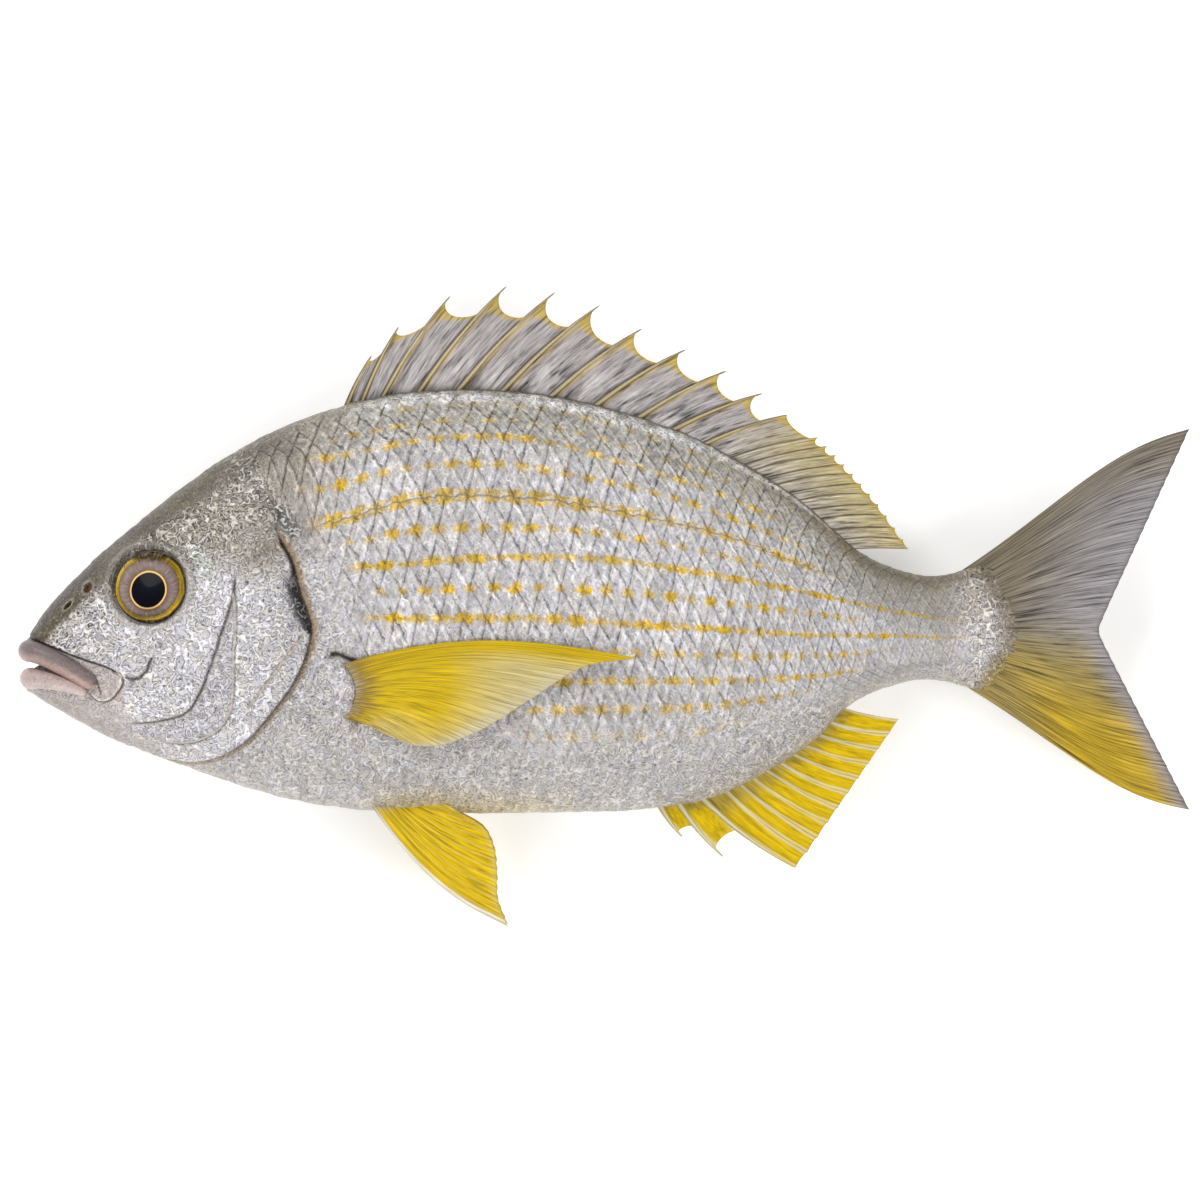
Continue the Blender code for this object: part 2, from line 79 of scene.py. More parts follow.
# Scale rows, each a line from head to tail, numbered up from the lateral line.
SCALE_ROWS = {
    2: ((-0.0705, 0.0378), (-0.0398, 0.0431), (-0.0185, 0.0426), (0.0045, 0.0365),
        (0.0168, 0.0329), (0.0294, 0.0286), (0.0458, 0.0211), (0.0627, 0.0124),
        (0.0832, 0.0042), (0.1036, -0.0009)),
    1: ((-0.0705, 0.0298), (-0.0526, 0.0347), (-0.0290, 0.0360), (-0.0013, 0.0319),
        (0.0156, 0.0280), (0.0248, 0.0250), (0.0345, 0.0214), (0.0483, 0.0160),
        (0.0652, 0.0091), (0.0832, 0.0022), (0.1036, -0.0029)),
    0: ((-0.0741, 0.0201), (-0.0625, 0.0230), (-0.0520, 0.0264), (-0.0390, 0.0280),
        (-0.0259, 0.0277), (-0.0129, 0.0267), (0.0038, 0.0238), (0.0243, 0.0195),
        (0.0345, 0.0166), (0.0499, 0.0104), (0.0640, 0.0058), (0.0832, 0.0001),
        (0.1036, -0.0050)),
    -2: ((-0.0800, 0.0085), (-0.0631, 0.0097), (-0.0526, 0.0104), (-0.0218, 0.0123),
         (-0.0013, 0.0119), (0.0243, 0.0084), (0.0499, 0.0038), (0.0755, -0.0017),
         (0.0934, -0.0043), (0.1036, -0.0056)),
    -4: ((-0.0800, -0.0030), (-0.0526, -0.0031), (-0.0218, -0.0032), (-0.0013, -0.0042),
         (0.0243, -0.0058), (0.0499, -0.0074), (0.0755, -0.0078), (0.1036, -0.0088)),
    -6: ((-0.0700, -0.0195), (-0.0270, -0.0201), (0.0004, -0.0193), (0.0243, -0.0193),
         (0.0550, -0.0181), (0.0755, -0.0150), (0.1036, -0.0129)),
    -8: ((-0.0700, -0.0330), (-0.0270, -0.0332), (-0.0013, -0.0337), (0.0243, -0.0324),
         (0.0473, -0.0270), (0.0652, -0.0198), (0.0832, -0.0162), (0.1036, -0.0170)),
}
TOP_ROW, BOTTOM_ROW = 5, -11
# Length of one scale along the body.
SCALE_PITCH = ((-0.1500, 0.0030), (-0.0900, 0.0040), (-0.0640, 0.0055), (-0.0290, 0.0058),
               (0.0250, 0.0050), (0.0500, 0.0038), (0.0760, 0.0028), (0.1060, 0.0019))
ROW_SKEW = 0.3
SCALE_EDGE_CURVE = 1.3
SCALE_STEP = 0.00022

# Gold marks: row, strength, first x, last x, and how far they join to a stripe.
GOLD_ROWS = (
    (4, 0.45, -0.055, 0.030, 0.0), (3, 0.60, -0.072, 0.040, 0.0), (2, 0.85, -0.0745, 0.050, 0.3),
    (1, 1.00, -0.075, 0.054, 0.2), (0, 0.90, -0.0735, 0.056, 0.7), (-1, 0.95, -0.066, 0.044, 0.15),
    (-2, 1.00, -0.064, 0.100, 0.9), (-3, 1.00, -0.058, 0.064, 0.0), (-4, 1.00, -0.060, 0.090, 0.9),
    (-5, 0.85, -0.050, 0.070, 0.0), (-6, 0.95, -0.016, 0.066, 0.5), (-7, 0.75, -0.025, 0.052, 0.1),
    (-8, 0.42, -0.020, 0.046, 0.0),
)

# Lines of the head, each from its upper or front end. The axil is the crease over the
# root of the pectoral fin, and the mouth's line runs from its front to its corner.
HEAD_LINES = {
    "gill": ((-0.0850, 0.0215), (-0.0824, 0.0164), (-0.0794, 0.0108), (-0.0776, 0.0040),
             (-0.0757, -0.0014), (-0.0746, -0.0056), (-0.0757, -0.0120), (-0.0795, -0.0204),
             (-0.0850, -0.0276), (-0.0912, -0.0344), (-0.0981, -0.0383), (-0.1056, -0.0397),
             (-0.1160, -0.0375)),
    "cheek": ((-0.0939, 0.0095), (-0.0943, 0.0027), (-0.0974, -0.0070), (-0.1001, -0.0152),
              (-0.1029, -0.0220), (-0.1056, -0.0262), (-0.1138, -0.0293), (-0.1230, -0.0300)),
    "cover": ((-0.0946, 0.0060), (-0.0938, -0.0035), (-0.0943, -0.0124), (-0.0946, -0.0227),
              (-0.0953, -0.0269), (-0.0981, -0.0310), (-0.1029, -0.0337), (-0.1104, -0.0344),
              (-0.1180, -0.0330)),
    "jaw": ((-0.1480, -0.0080), (-0.1420, -0.0103), (-0.1368, -0.0124), (-0.1315, -0.0143),
            (-0.1263, -0.0161), (-0.1234, -0.0179)),
    "subcover": ((-0.0761, -0.0070), (-0.0820, -0.0145), (-0.0879, -0.0222), (-0.0919, -0.0270)),
    "maxilla": ((-0.1234, -0.0179), (-0.1229, -0.0193), (-0.1242, -0.0221), (-0.1268, -0.0243),
                (-0.1289, -0.0243), (-0.1315, -0.0226)),
    "lip": ((-0.1383, -0.0124), (-0.1341, -0.0153), (-0.1307, -0.0182), (-0.1289, -0.0211),
            (-0.1283, -0.0236)),
    "suborbital": ((-0.1230, -0.0181), (-0.1197, -0.0188), (-0.1169, -0.0168), (-0.1159, -0.0142),
                   (-0.1149, -0.0127)),
    "chin": ((-0.1490, -0.0200), (-0.1407, -0.0212), (-0.1341, -0.0218), (-0.1300, -0.0235)),
    "axil": ((-0.0703, -0.0130), (-0.0692, -0.0124), (-0.0674, -0.0126), (-0.0655, -0.0135),
             (-0.0630, -0.0146)),
}
SHOULDER_LINE = ((-0.0930, 0.0350), (-0.0865, 0.0280), (-0.0815, 0.0215), (-0.0790, 0.0185))
AXIL_HOLLOW = (-0.0688, -0.0130)
MOUTH_LINE = ((-0.1510, -0.0153), (-0.1437, -0.0158), (-0.1378, -0.0176), (-0.1349, -0.0194),
              (-0.1319, -0.0220))
# Nostrils as (centre, long radius, short radius, turn).
NOSTRILS = (((-0.1318, 0.0043), 0.0013, 0.0009, 1.0), ((-0.1369, -0.0002), 0.0013, 0.00045, 0.9))
NOSTRIL_COLOURS = ((0.30, 0.13, 0.065), (0.045, 0.035, 0.03))

# Eyes, close to those of the solids. The pupil sits off the middle of its dome.
EYE_CENTRE = (-0.1162, 0.0050)
EYE_RADIUS = 0.0098
EYE_ROUNDNESS = 3.4
EYE_HALF_DEPTH = 0.0062
EYE_STANDS_OUT = 0.0022
EYELID_RADIUS = 0.0104
PUPIL_RADIUS = 0.0046
PUPIL_SHIFT = (0.0005, -0.0015)

# Colours, in linear light.
SILVER = (0.585, 0.565, 0.575)
BACK_GREY = (0.40, 0.38, 0.345)
BACK_OLIVE = (0.30, 0.245, 0.165)
BELLY_WARM = (0.51, 0.43, 0.31)
FOREHEAD = (0.100, 0.081, 0.055)
SNOUT_DARK = (0.075, 0.058, 0.053)
NAPE = (0.30, 0.262, 0.212)
CHEEK_GREY = (0.68, 0.66, 0.675)
BREAST = (0.53, 0.505, 0.49)
JAW_MAUVE = (0.36, 0.285, 0.275)
JAW_PALE = (0.58, 0.51, 0.49)
CHIN_PINK = (0.55, 0.49, 0.475)
SHOULDER_DARK = (0.045, 0.043, 0.042)
# Painted shade inside the gill opening.
SLIT_SHADE = (0.014, 0.012, 0.013)
GOLD = (0.64, 0.41, 0.008)
COOL_TINT = (0.985, 0.99, 1.035)
WARM_TINT = (1.025, 1.0, 0.955)
# Colour of the painted shade in the head's creases.
SEAM_SHADE = (0.055, 0.040, 0.034)
SKIN_METALLIC = 0.22

# Camera: the photograph shows this width, centred here, from straight above.
VIEW_WIDTH = 0.3074
VIEW_CENTRE = (-0.0013, 0.0014)
CAMERA_HEIGHT = 2.5
SENSOR = 36.0


# Curves and the body's surface

LINE_SAMPLES = 160


def smooth(points, at):
    """A smooth curve through (x, value) points, read at many x."""
    xs, ys = np.array(points, float).T
    slopes = np.gradient(ys, xs)
    at = np.clip(np.asarray(at, float), xs[0], xs[-1])
    i = np.clip(np.searchsorted(xs, at) - 1, 0, len(xs) - 2)
    step = xs[i + 1] - xs[i]
    t = (at - xs[i]) / step
    return ((2 * t**3 - 3 * t**2 + 1) * ys[i] + (t**3 - 2 * t**2 + t) * step * slopes[i]
            + (3 * t**2 - 2 * t**3) * ys[i + 1] + (t**3 - t**2) * step * slopes[i + 1])


def along(points, u):
    """Points at the fractions u of a smooth line through 2-D points."""
    points = np.array(points, float)
    lengths = np.append(0.0, np.cumsum(np.linalg.norm(np.diff(points, axis=0), axis=1)))
    place = np.asarray(u, float) * lengths[-1]
    return np.stack([smooth(np.stack([lengths, points[:, k]], 1), place) for k in (0, 1)], -1)


def ease(value, low, high):
    """Smooth step from 0 at low to 1 at high."""
    t = np.clip((value - low) / (high - low), 0.0, 1.0)
    return t * t * (3 - 2 * t)


def hump(value, middle, width):
    """1 at the middle, falling off smoothly to both sides over the width."""
    return np.exp(-(((value - middle) / width) ** 2))


def section(x):
    """Middle height, half height and half thickness of the body at x."""
    back, belly = smooth(BACK_LINE, x), smooth(BELLY_LINE, x)
    return (back + belly) / 2, (back - belly) / 2, smooth(HALF_THICKNESS, x)


def flank(x, y):
    """Height of the flank above the plane of symmetry."""
    middle, half_height, half_thickness = section(x)
    share = np.clip(np.abs(y - middle) / half_height, 0.0, 1.0)
    return half_thickness * np.sqrt(1 - share**EDGE_POWER)


def droop(x):
    """How far the tail hangs down towards the floor."""
    t = np.clip((x - DROOP_START) / (DROOP_END - DROOP_START), 0.0, 1.0)
    return TAIL_DROOP * t * t


def lay_down(points, lowest=0.0):
    """Lift points to the height at which the fish lies, none below the floor."""
    points = points.copy()
    points[..., 2] = np.maximum(points[..., 2] + REST_HEIGHT - droop(points[..., 0]), lowest)
    return points


def flank_place(x, y, side):
    """A place on the flank of one side, and the direction straight out of it."""
    step = 0.001
    slope_x = float(flank(x + step, y) - flank(x - step, y)) / (2 * step)
    slope_y = float(flank(x, y + step) - flank(x, y - step)) / (2 * step)
    normal = Vector((-slope_x, -slope_y, 1.0)).normalized()
    place = Vector((x, y, float(flank(x, y))))
    if side < 0:
        normal.z, place.z = -normal.z, -place.z
    return place + Vector((0, 0, REST_HEIGHT)), normal


def line_distance(x, y, line):
    """Distance of points from a line, their side of it, and their place along it.

    The distance is positive to the left of the line as it is walked.
    """
    path = along(line, np.linspace(0, 1, LINE_SAMPLES))
    best = np.full(x.shape, 1e9)
    which = np.zeros(x.shape, int)
    for k in range(LINE_SAMPLES):
        far = (x - path[k, 0]) ** 2 + (y - path[k, 1]) ** 2
        nearer = far < best
        best[nearer] = far[nearer]
        which[nearer] = k
    step = np.gradient(path, axis=0)[which]
    cross = step[..., 0] * (y - path[which, 1]) - step[..., 1] * (x - path[which, 0])
    return np.sign(cross) * np.sqrt(best), which / (LINE_SAMPLES - 1)


# Making meshes

def grid_quads(rows, columns, wrap=False, flip=False, start=0):
    """Quads over a grid of points, closed across its rows where it wraps."""
    index = np.arange(rows * columns).reshape(rows, columns) + start
    if wrap:
        index = np.concatenate([index, index[:1]], 0)
    quads = np.stack([index[:-1, :-1], index[:-1, 1:], index[1:, 1:], index[1:, :-1]], -1)
    quads = quads.reshape(-1, 4)
    return quads[:, ::-1] if flip else quads


def build(name, parts):
    """One smooth object from parts that hold points, quads, uv, colour and values."""
    quads, count = [], 0
    for part in parts:
        quads.append(part["quads"] + count)
        count += len(part["points"])
    quads = np.concatenate(quads)

    def joined(key, index=None):
        held = [part[key] if index is None else part[key][index] for part in parts]
        return np.concatenate(held).astype(np.float32)

    mesh = bpy.data.meshes.new(name)
    mesh.vertices.add(count)
    mesh.vertices.foreach_set("co", joined("points").ravel())
    mesh.loops.add(quads.size)
    mesh.loops.foreach_set("vertex_index", quads.ravel().astype(np.int32))
    mesh.polygons.add(len(quads))
    mesh.polygons.foreach_set("loop_start", np.arange(0, quads.size, 4, dtype=np.int32))
    mesh.update(calc_edges=True)
    layer = mesh.uv_layers.new(name="Grid")
    layer.data.foreach_set("uv", joined("uv")[quads.ravel()].ravel())
    layer = mesh.attributes.new("ground", "FLOAT_COLOR", "POINT")
    colours = joined("colour")
    layer.data.foreach_set("color", np.hstack([colours, np.ones((count, 1), np.float32)]).ravel())
    for key in parts[0]["values"]:
        layer = mesh.attributes.new(key, "FLOAT", "POINT")
        layer.data.foreach_set("value", joined("values", key))
    mesh.shade_smooth()
    obj = bpy.data.objects.new(name, mesh)
    bpy.context.scene.collection.objects.link(obj)
    return obj


def flat(grid):
    """A grid's points as one list."""
    return grid.reshape(-1, grid.shape[-1])


def open_part(points, uv, colour, values=None, flip=False, wrap=False):
    """A sheet over a grid of points."""
    rows, columns = points.shape[:2]
    return {"points": flat(points), "uv": flat(uv), "colour": flat(colour),
            "values": {key: value.ravel() for key, value in (values or {}).items()},
            "quads": grid_quads(rows, columns, wrap, flip)}


def shell_part(middle, half, uv, colour, flip=False):
    """A closed thin sheet on both sides of a grid of middle points."""
    rows, columns = middle.shape[:2]
    offset = grid_normals(middle) * half[..., None] * (-1 if flip else 1)
    count = rows * columns
    index = np.arange(count).reshape(rows, columns)
    top = grid_quads(rows, columns, flip=flip)
    bottom = grid_quads(rows, columns, flip=not flip, start=count)
    rim = np.concatenate([index[:, 0], index[-1, 1:], index[-2::-1, -1], index[0, -2:0:-1]])
    after = np.roll(rim, -1)
    sides = np.stack([rim, after, after + count, rim + count], -1)
    sides = sides[:, ::-1] if flip else sides
    return {"points": np.concatenate([flat(middle + offset), flat(middle - offset)]),
            "uv": np.tile(flat(uv), (2, 1)), "colour": np.tile(flat(colour), (2, 1)),
            "values": {},
            "quads": np.concatenate([top, bottom, sides])}


def tube_part(path, radii, sides, colour_at, reference=(0, 0, 1.0), squash=1.0):
    """A tube along a path; colour_at(s, angle) colours it.

    Angle 0 faces the reference direction as nearly as the path allows.
    """
    count = len(path)
    ahead = np.gradient(path, axis=0)
    ahead /= np.linalg.norm(ahead, axis=1, keepdims=True)
    across = np.cross(np.array(reference), ahead)
    across /= np.maximum(np.linalg.norm(across, axis=1, keepdims=True), 1e-9)
    up = np.cross(ahead, across)
    angle = np.arange(sides) / sides * 2 * math.pi
    ring = (np.cos(angle)[:, None, None] * up[None] * squash
            + np.sin(angle)[:, None, None] * across[None])
    points = path[None] + ring * np.asarray(radii)[None, :, None]
    s = np.broadcast_to(np.linspace(0, 1, count), (sides, count))
    turn = np.broadcast_to(angle[:, None], (sides, count))
    return open_part(points, np.stack([turn / (2 * math.pi), s], -1), colour_at(s, turn),
                     wrap=True)


def dress(name, parts, material, replaced="fish"):
    """Build a piece, give it its material and tie it to the fish."""
    obj = build(name, parts)
    obj.data.materials.append(material)
    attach(obj, "root")
    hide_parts(replaced)


# Materials

def operator(operation, swapped=False):
    """A method that adds a math node for two values, in their order or swapped."""

    def method(self, other):
        values = (other, self) if swapped else (self, other)
        return self.look.math(operation, *values)

    return method


class Signal:
    """A node's output that can be used in arithmetic."""

    __add__ = operator("ADD")
    __radd__ = operator("ADD", swapped=True)
    __sub__ = operator("SUBTRACT")
    __rsub__ = operator("SUBTRACT", swapped=True)
    __mul__ = operator("MULTIPLY")
    __rmul__ = operator("MULTIPLY", swapped=True)
    __truediv__ = operator("DIVIDE")
    __pow__ = operator("POWER")

    def __init__(self, look, socket):
        self.look, self.socket = look, socket


class Look:
    """A Principled material and short names for the nodes that drive it."""

    def __init__(self, name, roughness=0.4, metallic=0.0, coat=0.0, coat_roughness=0.1,
                 specular=0.5):
        self.material = bpy.data.materials.new(name)
        self.material.use_nodes = True
        self.tree = self.material.node_tree
        self.shader = self.tree.nodes["Principled BSDF"]
        self.set("Roughness", roughness)
        self.set("Metallic", metallic)
        self.set("Coat Weight", coat)
        self.set("Coat Roughness", coat_roughness)
        self.set("Specular IOR Level", specular)

    def feed(self, socket, value):
        if isinstance(value, Signal):
            self.tree.links.new(value.socket, socket)
        elif isinstance(value, (tuple, list)) and len(value) == 3 and socket.type == "RGBA":
            socket.default_value = (*value, 1.0)
        else:
            socket.default_value = value

    def set(self, name, value):
        self.feed(self.shader.inputs[name], value)

    def node(self, kind, output=0, settings=None, **inputs):
        made = self.tree.nodes.new(kind)
        for key, value in (settings or {}).items():
            setattr(made, key, value)
        for key, value in inputs.items():
            self.feed(made.inputs[key.replace("_", " ")], value)
        return Signal(self, made.outputs[output])

    def math(self, operation, *values):
        made = self.tree.nodes.new("ShaderNodeMath")
        made.operation = operation
        for socket, value in zip(made.inputs, values):
            self.feed(socket, value)
        return Signal(self, made.outputs[0])

    def floor(self, value):
        return self.math("FLOOR", value)

    def fract(self, value):
        return self.math("FRACT", value)

    def size(self, value):
        return self.math("ABSOLUTE", value)

    def most(self, first, second):
        return self.math("MAXIMUM", first, second)

    def ease(self, value, low, high, start=0.0, end=1.0):
        """Smooth change from start at low to end at high."""
        made = self.tree.nodes.new("ShaderNodeMapRange")
        made.interpolation_type = "SMOOTHSTEP"
        for key, given in zip(("Value", "From Min", "From Max", "To Min", "To Max"),
                              (value, low, high, start, end)):
            self.feed(made.inputs[key], given)
        return Signal(self, made.outputs[0])

    def mix(self, share, first, second, blend="MIX"):
        made = self.tree.nodes.new("ShaderNodeMix")
        made.data_type = "RGBA"
        made.blend_type = blend
        made.clamp_factor = True
        self.feed(made.inputs[0], share)
        self.feed(made.inputs[6], first)
        self.feed(made.inputs[7], second)
        return Signal(self, made.outputs[2])

    def times(self, first, second):
        return self.mix(1.0, first, second, "MULTIPLY")

    def attribute(self, name):
        return self.node("ShaderNodeAttribute", output=2, settings={"attribute_name": name})

    def colour_attribute(self, name):
        return self.node("ShaderNodeAttribute", output=0, settings={"attribute_name": name})

    def grid(self, name):
        """The two coordinates of a UV map."""
        uv = self.node("ShaderNodeUVMap", settings={"uv_map": name})
        split = self.tree.nodes.new("ShaderNodeSeparateXYZ")
        self.feed(split.inputs[0], uv)
        return Signal(self, split.outputs[0]), Signal(self, split.outputs[1])

    def vector(self, x, y, z=0.0):
        return self.node("ShaderNodeCombineXYZ", X=x, Y=y, Z=z)

    def place(self, stretch=(1, 1, 1)):
        """Object coordinates in millimetres, divided by a stretch."""
        coords = self.node("ShaderNodeTexCoord", output=3)
        made = self.tree.nodes.new("ShaderNodeMapping")
        self.feed(made.inputs[0], coords)
        made.inputs["Scale"].default_value = [1000 / s for s in stretch]
        return Signal(self, made.outputs[0])

    def noise(self, place, size, detail=2.0, roughness=0.5):
        """Noise from 0 to 1 whose lumps are about size across."""
        return self.node("ShaderNodeTexNoise", Vector=place, Scale=1 / size, Detail=detail,
                         Roughness=roughness)

    def scatter(self, place):
        """A random value for each whole-numbered place."""
        return self.node("ShaderNodeTexWhiteNoise", settings={"noise_dimensions": "3D"},
                         Vector=place)

    def bump(self, height, depth, strength=1.0):
        made = self.tree.nodes.new("ShaderNodeBump")
        made.inputs["Strength"].default_value = strength
        made.inputs["Distance"].default_value = depth
        self.feed(made.inputs["Height"], height)
        self.set("Normal", Signal(self, made.outputs[0]))


def scale_pattern(look, u, v):
    """Distance to the scale's rear edge, and a random number for each scale."""
    row = look.floor(v)
    above = v - row
    below = 1.0 - above
    own = u - row * ROW_SKEW
    lower = own + (above ** SCALE_EDGE_CURVE) * (1 - ROW_SKEW)
    upper = own - ROW_SKEW + (below ** SCALE_EDGE_CURVE) * ROW_SKEW
    past_lower, past_upper = look.fract(lower), look.fract(upper)
    to_edge = 1.0 - look.most(past_lower, past_upper)
    in_lower = look.math("GREATER_THAN", past_lower, past_upper)
    count = look.floor(lower) * in_lower + look.floor(upper) * (1.0 - in_lower)
    chance = look.scatter(look.vector(count, row + 1.0 - in_lower))
    return to_edge, chance


def gold_marks(look, u, v, wobble):
    """Gold at the rear tip of each scale, joined to a stripe on some rows."""
    row = look.floor(v + 0.5)
    across = v - row
    place = u - row * ROW_SKEW + 0.5
    along_row = look.fract(place) - 0.5
    chance = look.scatter(look.vector(look.floor(place), row, 3.0))
    joined, split = look.attribute("stripe"), look.attribute("split")
    length = 0.24 + chance * 0.14 + joined * 0.22
    width = 0.135 + chance * 0.075 - joined * 0.01 - split * 0.03
    beside = look.size(look.size(across) - split * 0.10)
    ring = ((along_row / length) ** 2.0 + (beside / width) ** 2.0) ** 0.5
    dots = look.ease(ring + wobble * 1.9, 1.30, 0.50)
    band = look.ease(beside + wobble * 0.14, 0.085, 0.02) * joined
    return look.most(dots * (0.70 + chance * 0.30), band * 0.75) * look.attribute("gold")


# Seams of the head as (line, width, painted shade share, offset, light width, light share,
# light colour), widths and offsets in millimetres, to the left of the line.
BONE = (0.66, 0.60, 0.54)
SEAM_LOOKS = (
    ("cheek", 0.75, 0.85, 0.65, 0.40, 0.45, BONE), ("cover", 0.85, 0.75, -0.10, 0.36, 0.95, BONE),
    ("subcover", 0.80, 0.60, 0.05, 0.32, 0.85, (0.62, 0.54, 0.44)),
    ("gill", 0.75, 0.85, 0.75, 0.45, 0.75, (0.40, 0.29, 0.17)),
    ("jaw", 0.60, 1.00, -0.60, 0.35, 0.35, (0.66, 0.58, 0.56)),
    ("maxilla", 0.55, 0.85, -0.50, 0.32, 0.85, (0.80, 0.74, 0.66)),
    ("lip", 0.50, 0.75, 0.55, 0.32, 0.55, (0.74, 0.67, 0.64)),
    ("suborbital", 0.75, 0.90, 0.70, 0.35, 0.30, BONE),
    ("chin", 0.45, 0.40, 0.60, 0.30, 0.30, BONE),
    ("axil", 1.05, 1.00, -0.90, 0.35, 0.45, BONE),
)


def seams(look, colour, wobble):
    """Painted shade in the creases along the head's lines, each with a light edge beside it."""
    for name, width, dark, shift, light_width, light, light_colour in SEAM_LOOKS:
        away = look.attribute(name) + wobble * 0.35
        # Painted shade along the crease.
        colour = look.mix(look.ease(look.size(away), width, 0.08) * dark, colour, SEAM_SHADE)
        edge = look.ease(look.size(away - shift), light_width + 0.15, light_width * 0.4)
        colour = look.mix(edge * light, colour, light_colour)
    return colour


def squiggles(look):
    """Bright worm-like squiggles in two sets of bends, partly the skin's own pale crests and partly
    painted glints, and dark veins beside them.
    """
    first = look.size(look.noise(look.place((1.0, 1.15, 1.0)), 2.6, detail=1.0) - 0.5)
    second = look.size(look.noise(look.place((1.3, 0.85, 1.0)), 1.9, detail=1.0) - 0.5)
    gate = look.noise(look.place((0.8, 1.2, 1.0)), 1.5, detail=1.5)
    here, there = look.ease(gate, 0.47, 0.54), look.ease(gate, 0.53, 0.46)
    white = (look.ease(first, 0.060, 0.012) * here * 1.2
             + look.ease(second, 0.062, 0.01) * there * 1.1)
    veins = (look.ease(first, 0.12, 0.19) * there * 0.6
             + look.ease(second, 0.12, 0.18) * here * 0.6
             + look.ease(look.size(first - 0.082), 0.024, 0.0) * here
             + look.ease(look.size(second - 0.085), 0.024, 0.0) * there * 0.9)
    return white, veins


def lateral_line(look, colour, u, v, wobble):
    """A dark zigzag thread along row 0, with pale pores beside it."""
    shown = look.attribute("thread")
    zigzag = look.math("SINE", u * (2 * math.pi)) * 0.025 + wobble * 0.22
    thread = look.ease(look.size(v + zigzag), 0.055, 0.010)
    colour = look.mix(thread * shown * 0.65, colour, (0.16, 0.125, 0.09))
    pores = look.ease(look.size(look.fract(u) - 0.5), 0.16, 0.06)
    pale = look.ease(look.size(v + zigzag - 0.07), 0.06, 0.02) * pores
    return look.mix(pale * shown * 0.6, colour, (0.80, 0.78, 0.74))


def skin_material(name):
    """Silvery skin: scale edges with a painted highlight on each rim, streaks, gold marks and
    bright squiggles partly painted as glints.
    """
    look = Look(name, roughness=0.36, metallic=SKIN_METALLIC, coat=0.10, coat_roughness=0.25)
    u, v = look.grid("Grid")
    place = look.place()
    scaly, belly = look.attribute("scaly"), look.attribute("belly")
    foil = look.attribute("foil") * (1.0 - belly * 0.15)
    contrast = look.attribute("contrast")
    wobble = look.noise(place, 1.5, detail=3.0) - 0.5
    speck = look.noise(place, 0.60, detail=3.0, roughness=0.7)
    patch = look.noise(place, 5.0, detail=3.0)
    across = u + v * 0.7 + wobble * 0.5
    streak = look.noise(look.vector(across * 5.0, v * 1.7), 1.0, detail=3.0, roughness=0.7)
    second = look.noise(look.vector((u - v * 0.5) * 4.0, v * 2.2, 9.0), 1.0, detail=3.0)
    to_edge, chance = scale_pattern(look, u + wobble * 0.17, v + wobble * 0.17)
    edge = look.ease(to_edge, 0.13, 0.04) * look.ease(patch + speck * 0.5, 0.50, 0.85, 0.30, 1.0)
    # Painted highlight along each scale's raised rear rim, just before its dark edge line.
    rim = look.ease(look.size(to_edge - 0.24), 0.14, 0.0)
    white, veins = squiggles(look)
    light = (white * foil + (look.ease(streak, 0.51, 0.60) * 0.85 + rim * 0.5) * scaly
             + look.ease(second, 0.52, 0.62) * (scaly * 0.6 + belly * 0.35)
             + look.ease(speck, 0.53, 0.66) * 0.40)
    dark = (veins * foil + (edge + look.ease(streak, 0.48, 0.38) * 0.40) * scaly
            + look.ease(second, 0.47, 0.36) * (scaly * 0.3 + belly * 0.4)
            + look.ease(speck, 0.47, 0.34) * 0.40)
    tone = (chance * 0.24 - 0.12) * scaly + (patch - 0.5) * 0.35
    shade = (tone + 1.0) * (light * 0.45 * contrast + 1.0 - dark * 0.50 * contrast)
    gold = gold_marks(look, u, v, wobble + (speck - 0.5) * 0.5)
    colour = look.mix(gold, look.colour_attribute("ground"), GOLD)
    colour = look.times(colour, look.most(shade, 0.12))
    cool_or_warm = look.ease(look.noise(place, 2.6, detail=3.0), 0.40, 0.60)
    colour = look.times(colour, look.mix(cool_or_warm, COOL_TINT, WARM_TINT))
    # Painted glints: the brightest squiggles lightened towards white where the glint mask is set.
    glint = look.ease(white, 0.25, 0.85) * look.attribute("glint")
    colour = look.mix(glint, colour, (0.74, 0.73, 0.71))
    warm = look.ease(speck, 0.55, 0.68) * foil * look.attribute("warm")
    colour = look.mix(warm, colour, (0.52, 0.40, 0.20))
    colour = look.mix(gold * look.ease(speck, 0.46, 0.36) * 0.4, colour, (0.40, 0.20, 0.006))
    colour = lateral_line(look, colour, u, v, wobble)
    look.set("Base Color", seams(look, colour, wobble))
    look.set("Metallic", SKIN_METALLIC - gold * 0.2)
    look.set("Roughness", 0.30 + speck * 0.16)
    look.bump(light * 0.7 - dark * 0.8 + gold * 0.3, 0.00035, 0.9)
    return look.material


# Skin

def even_angles(count, overlap=0.02):
    """Angles from belly to back that space points evenly over a mean section."""
    fine = np.linspace(-math.pi / 2, math.pi / 2, 2001)
    height = 2.6 * np.sign(np.sin(fine)) * np.abs(np.sin(fine)) ** (2 / EDGE_POWER)
    lengths = np.append(0, np.cumsum(np.hypot(np.diff(height), np.diff(np.cos(fine)))))
    angles = np.interp(np.linspace(0, lengths[-1], count), lengths, fine)
    return np.concatenate([[angles[0] - overlap], angles, [angles[-1] + overlap]])


